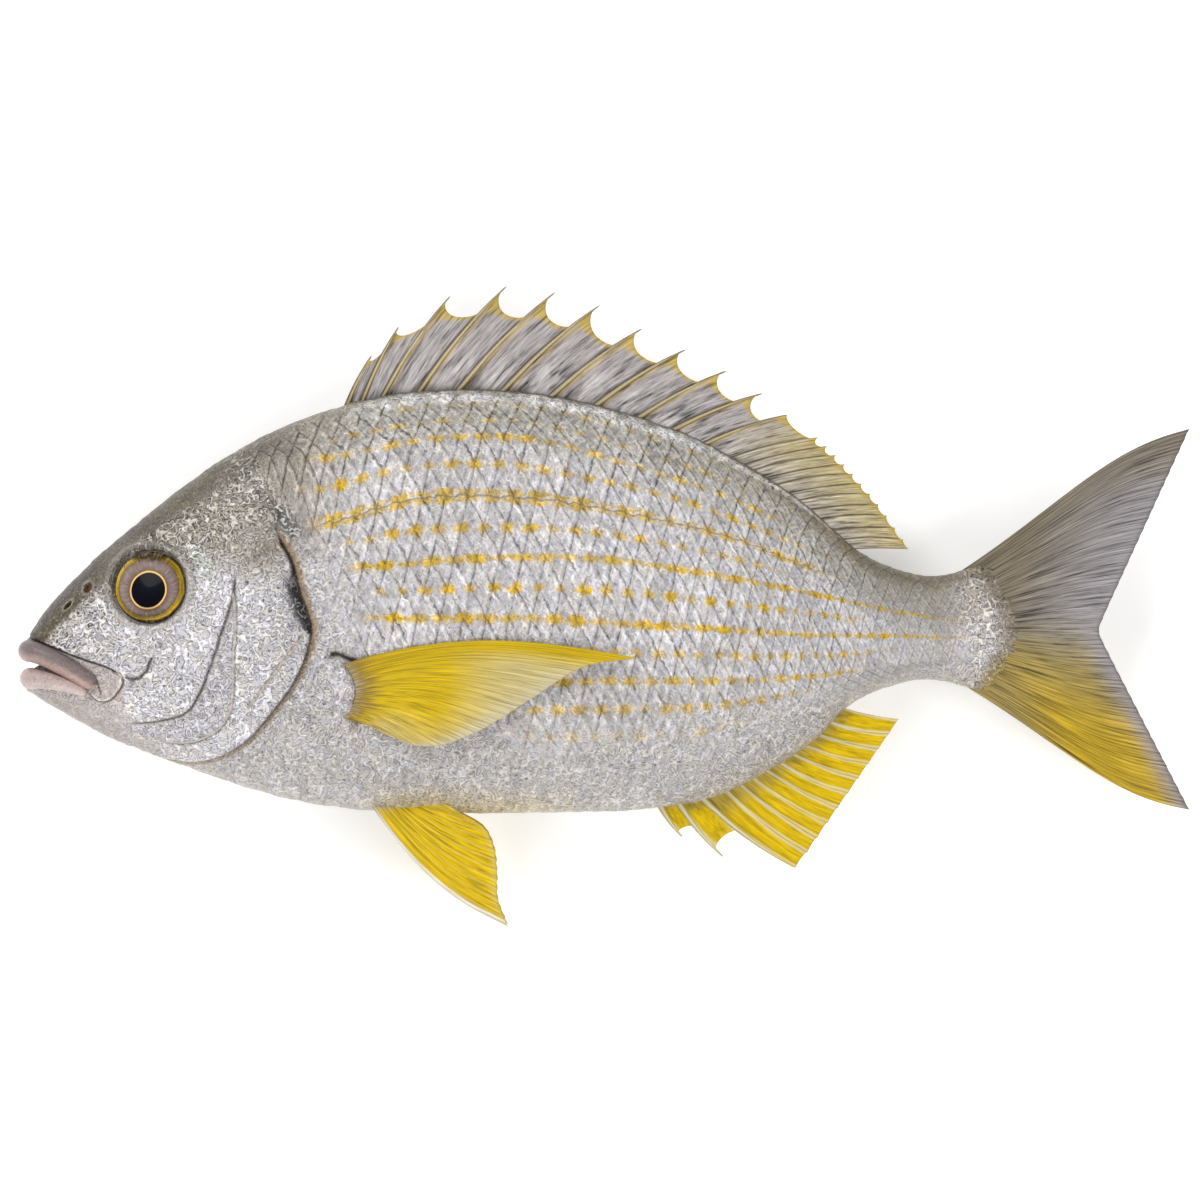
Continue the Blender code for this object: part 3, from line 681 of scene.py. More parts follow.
def skin_points(xs, scale, around):
    """Grid of points over one side, through sections at xs shrunk by scale."""
    angles = even_angles(around)
    middle, half_height, half_thickness = (s[:, None] for s in section(xs))
    scale = scale[:, None]
    rise = np.sin(angles)[None]
    share = np.sign(rise) * np.abs(rise) ** (2 / EDGE_POWER)
    y = middle + half_height * share * scale
    z = half_thickness * np.cos(angles)[None] * scale
    return np.stack([np.broadcast_to(xs[:, None], y.shape), y, z], -1)


def grid_normals(points):
    """Unit normals of a grid of points."""
    normal = np.cross(np.gradient(points, axis=0), np.gradient(points, axis=1))
    return normal / np.maximum(np.linalg.norm(normal, axis=-1, keepdims=True), 1e-12)


def scale_grid(x, y):
    """Scale coordinates: u counts scales along the body, v counts rows."""
    xs = np.linspace(-0.151, 0.110, 600)
    counted = np.cumsum(1 / smooth(SCALE_PITCH, xs)) * (xs[1] - xs[0])
    u = np.interp(x, xs, counted)
    rows = {TOP_ROW: BACK_LINE, BOTTOM_ROW: BELLY_LINE, **SCALE_ROWS}
    numbers = sorted(rows)
    heights = [smooth(rows[n], x) for n in numbers]
    v = np.full(x.shape, float(BOTTOM_ROW))
    for n, low, high, upper in zip(numbers, heights, heights[1:], numbers[1:]):
        inside = y >= low
        share = (y - low) / np.maximum(high - low, 1e-5)
        v = np.where(inside, n + (upper - n) * np.clip(share, 0, 1), v)
    return u, v


def scale_relief(u, v):
    """Overlapping scales: each rises to its rear edge, 0 to 1."""
    row = np.floor(v)
    above = v - row
    own = u - row * ROW_SKEW
    lower = np.mod(own + above**SCALE_EDGE_CURVE * (1 - ROW_SKEW), 1)
    upper = np.mod(own - ROW_SKEW + (1 - above) ** SCALE_EDGE_CURVE * ROW_SKEW, 1)
    past, to_edge = np.minimum(lower, upper), 1 - np.maximum(lower, upper)
    return past / (past + to_edge + 1e-6) * ease(to_edge, 0.0, 0.12)


def bump_noise(x, y, size, seed):
    """Smooth value noise from -1 to 1 with lumps about size across."""
    rng = np.random.default_rng(seed)
    table = rng.uniform(-1, 1, (64, 64))
    px, py = x / size, y / size
    ix, iy = np.floor(px).astype(int), np.floor(py).astype(int)
    fx, fy = ease(px - ix, 0, 1), ease(py - iy, 0, 1)

    def at(a, b):
        return table[(ix + a) % 64, (iy + b) % 64]

    return ((at(0, 0) * (1 - fx) + at(1, 0) * fx) * (1 - fy)
            + (at(0, 1) * (1 - fx) + at(1, 1) * fx) * fy)


class Paint:
    """Colours on a grid of points, laid over each other by masks."""

    def __init__(self, base, shape):
        self.colour = np.broadcast_to(np.array(base), shape + (3,))

    def over(self, mask, target):
        """Blend to the target colour, fully where the mask is 1."""
        share = np.clip(mask, 0, 1)[..., None]
        self.colour = self.colour + (np.array(target) - self.colour) * share


# Plates that end in a step at a line, as its rise and how far that reaches back, and
# grooves along a line, as depth and half width.
HEAD_STEPS = {"gill": (0.0012, 0.022), "cheek": (0.0006, 0.010), "cover": (0.0005, 0.008),
              "maxilla": (0.0006, 0.006), "jaw": (0.0008, 0.010)}
HEAD_GROOVES = {"axil": (0.0012, 0.0008), "subcover": (0.00030, 0.0007), "lip": (0.0005, 0.0007),
                "suborbital": (0.0004, 0.0008), "chin": (0.0003, 0.0009),
                "jaw": (0.0006, 0.0006), "gill": (0.0004, 0.0006)}
TAIL_SCALES_END = 0.1066


class Side:
    """One side's skin fields: relief height, zone colours and masks."""

    def __init__(self, points):
        self.x, self.y = points[..., 0], points[..., 1]
        x, y = self.x, self.y
        self.from_back = smooth(BACK_LINE, x) - y
        self.from_belly = y - smooth(BELLY_LINE, x)
        self.u, self.v = scale_grid(x, y)
        self.lines = {name: line_distance(x, y, line) for name, line in HEAD_LINES.items()}
        self.gill, self.gill_at = self.lines["gill"]
        self.eye = np.hypot(x - EYE_CENTRE[0], y - EYE_CENTRE[1])
        lobe_x, lobe_y = (x - LOBE_CENTRE[0]) / LOBE_SIZE[0], (y - LOBE_CENTRE[1]) / LOBE_SIZE[1]
        self.lobe = np.hypot(lobe_x, lobe_y)
        nape = ease(x + 0.71 * (y - 0.0200), -0.0830, -0.0730)
        behind = ease(self.gill, -0.0002, 0.0010) * ease(x, -0.118, -0.105)
        self.trunk = np.where(y > 0.0205, np.maximum(nape, behind * (y < 0.024)), behind)
        self.head = 1 - self.trunk
        breast = ease(x + 0.4 * (y + 0.02), -0.050, -0.070) * ease(y, -0.004, -0.018)
        uneven = 1.1 * bump_noise(x, y, 0.0090, SEED + 3)
        low = ease(self.v + uneven, -6.4, -9.6)
        granular = ease(x + 0.003 * bump_noise(x, y, 0.004, SEED + 2), 0.0830, 0.0970)
        near_gill = ease(self.gill, 0.016, 0.003) * ease(y, 0.022, 0.010) * self.trunk
        ridge = ease(self.from_back, 0.0036, 0.0014) * ease(x, 0.060, 0.045)
        self.scaly = (self.trunk * (1 - breast) * (1 - low) * (1 - 0.85 * near_gill)
                      * (1 - ridge) * (1 - granular))
        self.foil = np.clip(1 - 0.85 * self.scaly, 0, 1)
        self.slit = self.slit_mask()

    def slit_mask(self):
        """The gill opening in front of the upper gill line, painted near black as shade: thin
        above, wide below.
        """
        t = np.clip((self.gill_at - 0.055) / (0.350 - 0.055), 0, 1)
        width = (0.0005 + 0.0016 * ease(t, 0.25, 0.65)) * ease(t, 0.0, 0.06) * ease(t, 1.0, 0.92)
        width = width * (1 + 0.25 * bump_noise(self.x, self.y, 0.0022, SEED + 7)) + 1e-6
        return ease(self.gill, 0.0002, -0.0002) * ease(self.gill, -1.6 * width, -0.7 * width)

    def relief(self):
        """Height over the smooth body: scales, lumps, plates and hollows."""
        x, y = self.x, self.y
        height = SCALE_STEP * self.scaly * (scale_relief(self.u, self.v) - 0.5)
        height += 0.00013 * self.foil * bump_noise(x, y, 0.0013, SEED)
        height += 0.00016 * bump_noise(x, y, 0.0046, SEED + 1)
        for name, (rise, reach) in HEAD_STEPS.items():
            height += self.step(name, rise, reach)
        for name, (depth, width) in HEAD_GROOVES.items():
            height -= self.groove(name, depth, width)
        height -= 0.0016 * self.slit
        mouth, mouth_at = line_distance(x, y, MOUTH_LINE)
        depth = 0.0060 * ease(mouth_at, 0.62, 0.15) + 0.0006 * ease(mouth_at, 1.0, 0.9)
        height -= depth * hump(mouth, 0.0, 0.0009 + 0.0005 * ease(mouth_at, 0.6, 0.0))
        for number in range(len(NOSTRILS)):
            far = self.nostril(number)
            height += 0.0003 * hump(far, 1.5, 0.5) - 0.0010 * ease(far, 1.0, 0.4)
        height += 0.0004 * hump(self.eye, EYELID_RADIUS + 0.0004, 0.0007)
        height -= 0.0022 * ease(self.eye, EYE_RADIUS + 0.0002, EYE_RADIUS - 0.0006)
        height += 0.0014 * ease(self.lobe, 1.15, 0.60)
        return height

    def nostril(self, number):
        """Distance from a nostril's centre, 1 on its oval rim."""
        (centre_x, centre_y), long_radius, short_radius, turn = NOSTRILS[number]
        along_it = ((self.x - centre_x) * math.cos(turn) + (self.y - centre_y) * math.sin(turn))
        across_it = ((self.y - centre_y) * math.cos(turn) - (self.x - centre_x) * math.sin(turn))
        return np.hypot(along_it / long_radius, across_it / short_radius)

    def ends(self, name):
        """0 at both ends of a head line, 1 along the rest."""
        at = self.lines[name][1]
        return ease(at, 0.0, 0.06) * ease(at, 1.0, 0.94)

    def step(self, name, rise, reach):
        """A plate that ends proud at a line, on the side away from the tail."""
        away = self.lines[name][0] * (-1 if name == "jaw" else 1)
        inside = ease(away, 0.0004, -0.0003)
        return rise * inside * np.exp(-np.maximum(-away, 0) / reach) * self.ends(name)

    def groove(self, name, depth, width):
        """Depth of a groove along a line."""
        return depth * hump(self.lines[name][0], 0.0, width) * self.ends(name)

    def seam(self, name):
        """Distance from a head line in millimetres, far off beyond its ends."""
        away = self.lines[name][0] * 1000
        return away + np.where(away < 0, -6.0, 6.0) * (1 - self.ends(name))

    def ground(self):
        """Colours of the skin's zones, before the material's patterns, with painted shade along the
        back's outline and the fin's foot and a painted highlight on the ridge below the fin.
        """
        x, y = self.x, self.y
        paint = Paint(SILVER, x.shape)
        tailward = ease(x, 0.015, 0.065)
        back = ease(self.from_back, 0.023 - 0.003 * tailward, 0.004 + 0.003 * tailward)
        paint.over(back, BACK_GREY)
        paint.over(0.8 * ease(self.from_back, 0.0075, 0.001) * tailward, BACK_OLIVE)
        paint.over(0.5 * ease(x, 0.072, 0.098), (0.60, 0.54, 0.50))
        # Painted shade along the back's outline, where the rounded edge turns away from the light,
        # over the back's own darker colour.
        paint.over(0.65 * ease(self.from_back, 0.0052, 0.0008), (0.20, 0.17, 0.12))
        # A silvery strip along the ridge under the dorsal fin, painted near white: partly its own
        # silver, partly a painted highlight where the ridge faces sideways.
        ridge_width = 0.0013 * ease(x, 0.062, 0.010) + 0.0004
        ridge = (hump(self.from_back, 0.0004 + ridge_width, ridge_width)
                 * ease(x, -0.068, -0.058) * ease(x, 0.062, 0.045))
        broken = 0.6 + 0.4 * bump_noise(x, y, 0.0020, SEED + 6)
        paint.over(1.1 * ridge * broken, (0.92, 0.92, 0.92))
        # Painted shade in the crease where the dorsal fin's foot meets the back.
        foot = ease(self.from_back, 0.0007, 0.0002) * ease(x, -0.070, -0.064) * ease(x, 0.07, 0.06)
        paint.over(0.8 * foot, (0.10, 0.085, 0.065))
        paint.over(0.8 * ease(self.from_belly, 0.0040, 0.0004), BELLY_WARM)
        low = ease(self.v, -4.0, -8.0) * self.trunk
        breast = ease(x, -0.030, -0.075) * ease(y, -0.005, -0.030) * self.trunk
        paint.over(0.75 * np.maximum(breast, low), BREAST)
        yellowish = (ease(self.from_belly, 0.0085, 0.0015) * ease(x, -0.066, -0.050)
                     * ease(x, 0.000, -0.025))
        paint.over(0.70 * yellowish, (0.62, 0.53, 0.33))
        self.head_colours(paint)
        self.tail_colours(paint)
        return paint.colour

    def tail_colours(self, paint):
        """Blends into the colours of the tail fin's root."""
        x, y = self.x, self.y
        near_end = ease(x, self.tail_end() - 0.0085, self.tail_end() - 0.0015)
        paint.over(0.95 * near_end, (0.26, 0.215, 0.15))
        paint.over(0.8 * near_end * ease(y, -0.004, 0.008), (0.18, 0.15, 0.11))
        paint.over(0.9 * near_end * ease(y, -0.010, -0.018), (0.40, 0.28, 0.06))

    def tail_end(self):
        """Where the scales give way to the tail's rays."""
        away = np.abs(self.y + 0.0055) / 0.0185
        jagged = 0.0009 * bump_noise(self.x * 0, self.y, 0.0011, SEED + 5)
        return TAIL_SCALES_END - 0.0085 * away**2 + jagged

    def tail_fade(self):
        """How far the skin has thinned out to the tail's root."""
        return ease(self.x, self.tail_end() - 0.0090, self.tail_end())

    def head_colours(self, paint):
        """Cheek, nape, brow, snout, gill slit, orbit, nostrils, with painted shade in the gill slit
        and round the eye.
        """
        x, y, head = self.x, self.y, self.head
        patchy = 0.5 + 0.5 * bump_noise(x, y, 0.0060, SEED + 4)
        mottled = 0.5 + 0.5 * bump_noise(x, y, 0.0025, SEED + 6)
        paint.over(0.8 * head * ease(x, -0.074, -0.092), CHEEK_GREY)
        front = head * ease(x, -0.122, -0.134)
        paint.over(0.7 * front, (0.50, 0.475, 0.495))
        wedge = (ease(self.lines["cheek"][0], -0.0002, 0.0006)
                 * ease(self.lines["cover"][0], 0.0002, -0.0006))
        paint.over(0.45 * wedge * head, (0.40, 0.38, 0.43))
        border = 0.0110 + 0.0170 * ease(x, -0.125, -0.100) + 0.008 * ease(x, -0.100, -0.085)
        nape = ease(self.from_back, border + 0.005, border - 0.006) * ease(x, -0.058, -0.084)
        paint.over(nape * (0.70 + 0.30 * patchy), NAPE)
        brow = ease(self.from_back, 0.0125, 0.0035) * ease(x, -0.070, -0.100)
        paint.over(0.92 * brow, FOREHEAD)
        snout = ease(self.from_back, 0.0084 + 0.0008 * mottled, 0.0074) * ease(x, -0.112, -0.120)
        paint.over(0.92 * snout, SNOUT_DARK)
        paint.over(0.6 * snout * ease(self.from_back, 0.0030, 0.0060), (0.115, 0.095, 0.045))
        above_eye = ease(self.eye, 0.0150, 0.0110) * ease(y - 0.2 * x, 0.026, 0.034)
        paint.over(0.6 * above_eye, (0.25, 0.215, 0.165))
        silver_brow = (hump(self.eye, 0.0150, 0.0022) * ease(x, -0.112, -0.106)
                       * ease(y, 0.006, 0.009) * ease(y, 0.017, 0.013))
        paint.over(0.8 * silver_brow, (0.56, 0.60, 0.58))
        paint.over(0.90 * self.shoulder() * (0.5 + 0.5 * mottled), SHOULDER_DARK)
        self.jaw_colours(paint)
        flesh = ease(self.gill, 0.0030, 0.0008) * ease(self.gill, -0.0002, 0.0003)
        flesh = flesh * ease(self.gill_at, 0.02, 0.07) * ease(self.gill_at, 0.52, 0.38)
        paint.over(0.80 * flesh, (0.34, 0.25, 0.155))
        near = ease(self.gill, 0.0013, 0.0004) * flesh * ease(self.gill_at, 0.38, 0.30)
        paint.over(0.70 * near, (0.12, 0.075, 0.035))
        # Painted shadow, mottled, beside the wide part of the gill slit.
        paint.over(0.90 * self.gap() * (0.5 + 0.5 * mottled), (0.085, 0.078, 0.095))
        # Painted shade inside the gill opening.
        paint.over(self.slit, SLIT_SHADE)
        upper_left = ease(y - 0.7 * x, 0.082, 0.094)
        orbit = ease(self.eye, 0.0121, 0.0115)
        paint.over(0.85 * orbit * upper_left, (0.24, 0.215, 0.19))
        paint.over(0.55 * orbit * (1 - upper_left), (0.50, 0.47, 0.45))
        # Painted shade on the socket's wall round the eye's dome.
        socket = hump(self.eye, EYE_RADIUS + 0.0002, 0.00030)
        paint.over(0.65 * socket, (0.075, 0.062, 0.045))
        fold = hump(self.eye, 0.0119, 0.00035) * (0.35 + 0.65 * upper_left)
        paint.over(0.60 * fold, (0.12, 0.10, 0.08))
        # Painted shade: the skin under the eye's dome is near black.
        paint.over(ease(self.eye, EYE_RADIUS - 0.0004, EYE_RADIUS - 0.0009), (0.02, 0.018, 0.015))
        for number in range(len(NOSTRILS)):
            far = self.nostril(number)
            paint.over(0.7 * ease(far, 1.9, 1.4), (0.40, 0.34, 0.28))
            paint.over(ease(far, 1.35, 1.0), (0.060, 0.030, 0.018))
            paint.over(0.8 * ease(far, 0.75, 0.35), NOSTRIL_COLOURS[number])
        self.lobe_colours(paint)

    def shoulder(self):
        """The dark patch behind the nape, above the gill slit."""
        away, _ = line_distance(self.x, self.y, SHOULDER_LINE)
        band = hump(away, 0.0, 0.0026) * ease(self.y, 0.0150, 0.0185)
        return band * (0.35 + 0.65 * ease(self.y, 0.0290, 0.0235)) * ease(self.y, 0.0390, 0.0330)

    def gap(self):
        """The mottled skin beside the wide part of the gill slit, painted dark as the shadow there.
        """
        beside = hump(self.gill, -0.0024, 0.0016) * (self.gill < 0)
        return beside * ease(self.gill_at, 0.12, 0.20) * ease(self.gill_at, 0.35, 0.28)

    def lobe_colours(self, paint):
        """The pale lobe that carries the pectoral fin, brownish towards its rays, with painted
        shade in the hollow above it and along its upper crease.
        """
        paint.over(0.6 * ease(self.lobe, 1.15, 0.75), (0.60, 0.57, 0.59))
        spiky = 0.30 * bump_noise(self.x * 0.25, self.y, 0.0006, SEED + 8)
        rear = ease(self.lobe + spiky, 0.55, 1.0) * ease(self.x, -0.0655, -0.0635)
        paint.over(0.8 * rear * ease(self.lobe, 2.2, 1.5), (0.24, 0.17, 0.12))
        # Painted shade in the hollow above the fin's root.
        hole = hump(self.x, AXIL_HOLLOW[0], 0.0013) * hump(self.y, AXIL_HOLLOW[1], 0.0007)
        paint.over(hole, (0.03, 0.022, 0.02))
        # Painted shade along the crease over the lobe's upper side.
        hollow = (hump(self.lobe, 1.2, 0.16)
                  * ease(self.y, LOBE_CENTRE[1] + 0.001, LOBE_CENTRE[1] + 0.006))
        paint.over(0.45 * hollow, (0.12, 0.09, 0.08))

    def mouth(self):
        """The scaleless skin between the jaw's crease and the chin's line."""
        inside = ease(self.lines["jaw"][0], 0.0001, -0.0003) * ease(self.x, -0.1222, -0.1234)
        return inside * ease(self.lines["chin"][0], -0.0012, 0.0004)

    def chin(self):
        """The underside of the lower jaw."""
        return (ease(self.from_belly, 0.0115, 0.0080) * ease(self.x, -0.112, -0.132)
                * ease(self.lines["maxilla"][0], -0.0002, 0.0002))

    def jaw_colours(self, paint):
        """The pink jaws, and the brownish throat."""
        mouth = self.mouth()
        paint.over(mouth, JAW_MAUVE)
        paint.over(0.9 * mouth * ease(self.x, -0.1390, -0.1270), JAW_PALE)
        paint.over(0.9 * self.chin(), CHIN_PINK)
        throat = ease(self.from_belly, 0.0050, 0.0) * ease(self.x, -0.0950, -0.1200)
        paint.over(0.60 * throat, (0.37, 0.32, 0.275))

    def values(self):
        """The masks that the skin's material reads."""
        strength = np.zeros(self.x.shape)
        joined = np.zeros(self.x.shape)
        nearest = np.floor(self.v + 0.5)
        for row, amount, first, last, stripe in GOLD_ROWS:
            span = (ease(self.x, first - 0.004, first + 0.004)
                    * ease(self.x, last + 0.008, last - 0.010))
            strength = np.where(nearest == row, amount * span, strength)
            joined = np.where(nearest == row, stripe, joined)
        upper = ease(self.from_back, 0.024, 0.006)
        contrast = 1.0 + 0.25 * upper * self.trunk - 0.20 * ease(self.v, -6.5, -9.0)
        band = (0.0045 + 0.0025 * ease(self.x, -0.120, -0.100)
                + 0.0033 * ease(self.x, -0.118, -0.126))
        smooth_brow = ease(self.from_back, band + 0.002, band - 0.001) * self.head
        smooth_brow = smooth_brow * ease(self.x, -0.090, -0.102)
        contrast = contrast * (1 - 0.65 * smooth_brow) * (1 - 0.75 * ease(self.eye, 0.0121, 0.0115))
        bare = np.maximum(self.mouth(), 0.85 * self.chin())
        contrast = contrast * (1 - 0.85 * bare) * (1 - 0.7 * self.slit)
        granules = ease(self.x, 0.084, 0.097)
        contrast = contrast * (1 - 0.40 * ease(self.x, 0.055, 0.080) * (1 - granules))
        fade = ease(self.x, self.tail_end() - 0.0075, self.tail_end() - 0.0005)
        contrast = contrast * (1 + 0.10 * granules) * (1 - 0.6 * fade)
        dark_nape = ease(self.from_back, 0.027, 0.014) * ease(self.x, -0.076, -0.088) * self.head
        contrast = contrast * (1 + 0.80 * dark_nape * (1 - smooth_brow))
        belly = self.trunk * self.foil * (1 - granules)
        # Where the brightest squiggles are lightened further as painted glints: the nape, the
        # shoulder patch and beside the gill slit.
        glint = np.clip(0.45 * dark_nape * (1 - smooth_brow) + 0.85 * self.shoulder()
                        + 0.50 * self.gap(), 0, 0.85)
        warm = 0.55 * self.head * ease(self.from_back, 0.034, 0.014) + 0.10 * self.head
        made = {"scaly": self.scaly, "foil": self.foil, "contrast": contrast, "warm": warm,
                "belly": belly, "glint": glint,
                "gold": strength * ease(self.scaly, 0.1, 0.5), "stripe": joined,
                "split": (nearest == 0) * 1.0,
                "thread": ease(self.x, -0.076, -0.070) * ease(self.x, 0.080, 0.045)}
        made.update({name: self.seam(name) for name in HEAD_LINES})
        return made


# Pieces of skin as (name, side, first x, last x, sections, points round a section).
SKINS = (("skin_head", 1, SNOUT_X, HEAD_END_X, 280, 300),
         ("skin_trunk", 1, HEAD_END_X, TAIL_ROOT_X, 320, 300),
         ("skin_right", -1, SNOUT_X, TAIL_ROOT_X, 300, 140))


def skin(name, side, xs, scale, around, material):
    """One piece of skin, from sections at xs shrunk by scale."""
    points = skin_points(xs, scale, around)
    fields = Side(points)
    points = points + grid_normals(points) * fields.relief()[..., None]
    points[..., 2] *= side * (1 - 0.97 * fields.tail_fade())
    part = open_part(lay_down(points), np.stack([fields.u, fields.v], -1), fields.ground(),
                     fields.values(), flip=side < 0)
    dress(name, [part], material)


def skins(material):
    """Left flank in two pieces, head and trunk, and the right flank in one."""
    cap = np.linspace(math.pi / 2 * 0.97, 0, 10)[:-1]
    nose = SNOUT_X - SNOUT_CAP * np.sin(cap)
    for name, side, first, last, count, around in SKINS:
        xs = np.linspace(first, last, count)
        scale = np.ones(count)
        if first == SNOUT_X:
            xs, scale = np.append(nose, xs), np.append(np.cos(cap), scale)
        skin(name, side, xs, scale, around, material)


# Lips

UPPER_LIP = {"front": (-0.1473, -0.0116), "corner": (-0.1300, -0.0203),
             "radii": (0.0028, 0.0024), "fall": 1.35}
LOWER_LIP = {"front": (-0.1470, -0.0187), "corner": (-0.1322, -0.0224),
             "radii": (0.0027, 0.0011), "fall": 1.7}
LIP_HALF_SPREAD = 0.0112
LIP_STEPS = 141
LIP_SIDES = 40


def lip(name, sizes, upper, lower, material):
    """A fleshy lip around the front of the mouth, pinched out at its corners."""
    (front_x, front_y), (corner_x, corner_y) = sizes["front"], sizes["corner"]
    front_radius, corner_radius = sizes["radii"]
    spread = np.linspace(-1, 1, LIP_STEPS)
    out = np.sin(spread * math.pi / 2)
    back = 0.35 * np.abs(spread) ** 3 + 0.65 * np.abs(out) ** 8
    path = np.stack([front_x + (corner_x - front_x) * back,
                     front_y + (corner_y - front_y) * back ** sizes["fall"],
                     LIP_HALF_SPREAD * out], -1)
    radii = front_radius + (corner_radius - front_radius) * back
    radii = radii * np.sqrt(np.clip(1 - ((np.abs(spread) - 0.90) / 0.10).clip(0) ** 2, 0.0001, 1))
    radii = radii * (1 + 0.03 * bump_noise(spread * 8, spread * 0, 0.7, SEED + 9))

    def colour_at(s, angle):
        top = ease(np.cos(angle), -0.65, 0.25)[..., None]
        corner = ease(np.abs(2 * s - 1), 0.55, 0.98)[..., None]
        colour = np.array(lower) + (np.array(upper) - np.array(lower)) * top
        return colour * (1 + 0.15 * corner)

    part = tube_part(path, radii, LIP_SIDES, colour_at, reference=(0, 1.0, 0))
    part["points"] = lay_down(part["points"])
    dress(name, [part], material)


def lip_material(name):
    """Moist thick lip skin with fine creases."""
    look = Look(name, roughness=0.42, coat=0.15, coat_roughness=0.25, specular=0.35)
    place = look.place()
    grain = look.noise(place, 0.55, detail=5.0, roughness=0.65)
    patches = look.noise(look.place((3.0, 1.0, 3.0)), 1.2, detail=3.0)
    colour = look.colour_attribute("ground")
    shade = (look.ease(grain, 0.50, 0.75) * 0.30 - look.ease(grain, 0.50, 0.30) * 0.35
             + look.ease(patches, 0.50, 0.72) * 0.12 - look.ease(patches, 0.50, 0.30) * 0.12 + 1.0)
    look.set("Base Color", look.times(colour, shade))
    look.bump(grain + patches, 0.00025, 0.6)
    return look.material


# Eyes

EYE_RINGS = 76
EYE_SIDES = 112
# Colours from the pupil outwards, each at its radius.
EYE_COLOURS = (
    (0.0000, (0.001, 0.002, 0.008)), (0.0045, (0.001, 0.001, 0.003)),
    (0.00465, (0.95, 0.72, 0.32)), (0.00485, (0.80, 0.46, 0.10)),
    (0.00505, (0.16, 0.085, 0.045)), (0.0055, (0.17, 0.120, 0.105)),
    (0.0063, (0.24, 0.185, 0.190)), (0.0070, (0.19, 0.140, 0.125)),
    (0.0074, (0.15, 0.085, 0.018)), (0.0077, (0.38, 0.24, 0.010)),
    (0.0080, (0.24, 0.15, 0.006)), (0.0083, (0.66, 0.46, 0.03)),
    (0.0086, (0.20, 0.12, 0.008)), (0.0088, (0.018, 0.013, 0.008)),
    (0.0090, (0.03, 0.025, 0.020)), (0.0092, (0.22, 0.20, 0.17)),
    (0.0095, (0.20, 0.18, 0.15)), (0.0098, (0.02, 0.017, 0.014)),
)


def eye(name, side, material):
    """The dome of an eye: pupil, gold ring, iris and dark rim, by radius."""
    radius = np.linspace(0.00002, EYE_RADIUS, EYE_RINGS)
    angle = np.arange(EYE_SIDES) / EYE_SIDES * 2 * math.pi
    depth = EYE_HALF_DEPTH * np.sqrt(np.clip(1 - (radius / EYE_RADIUS) ** EYE_ROUNDNESS, 0, 1))
    bulge = 0.00025 * ease(radius, PUPIL_RADIUS, 0.0)
    ripple = 0.00006 * np.sin(radius / 0.00045) * ease(radius, 0.0050, 0.0060)
    slide = ease(radius, EYE_RADIUS, PUPIL_RADIUS)[None]
    local = np.stack([radius[None] * np.cos(angle)[:, None] + PUPIL_SHIFT[0] * slide,
                      radius[None] * np.sin(angle)[:, None] + PUPIL_SHIFT[1] * slide,
                      np.broadcast_to(depth + bulge + ripple, (EYE_SIDES, EYE_RINGS))], -1)
    place, out = flank_place(*EYE_CENTRE, side)
    along_body = (Vector((1, 0, 0)) - out * out.x).normalized()
    up = out.cross(along_body) * side
    middle = place + out * (EYE_STANDS_OUT - EYE_HALF_DEPTH)
    points = local @ np.array([along_body, up, out]) + np.array(middle)
    colour = iris_colours(radius, angle)
    spread = np.broadcast_to(radius, (EYE_SIDES, EYE_RINGS))
    uv = np.stack([np.broadcast_to(angle[:, None], spread.shape) / (2 * math.pi) * 60,
                   spread * 1000], -1)
    part = open_part(points, uv, colour, {"iris": ease(spread, 0.0050, 0.0056)},
                     wrap=True, flip=side > 0)
    dress(name + "_dome", [part], material, replaced=name)


def iris_colours(radius, angle):
    """Rings of colour by radius, uneven around the eye and wider along the body, with a painted
    shadow of the upper eyelid over their top.
    """
    turn = angle[:, None]
    wobble = 0.00013 * np.sin(2 * turn + 1.0) + 0.00004 * np.sin(7 * turn)
    wobble = wobble + 0.00003 * np.sin(17 * turn + 2.0)
    r = np.broadcast_to(radius, (len(angle), len(radius)))
    r = r + wobble * ease(r, 0.0046, 0.0060) + 0.3 * wobble
    r = r - 0.0008 * np.cos(turn) ** 2 * ease(r, 0.0052, 0.0076) * ease(r, 0.0098, 0.0092)
    radii = [ring[0] for ring in EYE_COLOURS]
    colour = np.stack([np.interp(r, radii, [ring[1][k] for ring in EYE_COLOURS])
                       for k in range(3)], -1)
    # Painted shadow of the upper eyelid, darkening the top of the iris.
    lid_shadow = 0.90 * ease(r * np.sin(turn), 0.0064, 0.0076) * ease(r, 0.0092, 0.0088)
    gleam = (np.clip(np.cos(turn - 2.9), 0, 1) ** 2 + np.clip(np.cos(turn + 0.5), 0, 1) ** 2)
    outer = ease(r, 0.0072, 0.0077) * ease(r, 0.0091, 0.0088)
    low = 0.35 * ease(np.sin(turn), -0.75, -1.0) * (1 - outer)
    light = (1 - lid_shadow) * (1 - low) * (1 + outer * (0.95 * gleam - 0.45))
    return colour * light[..., None]


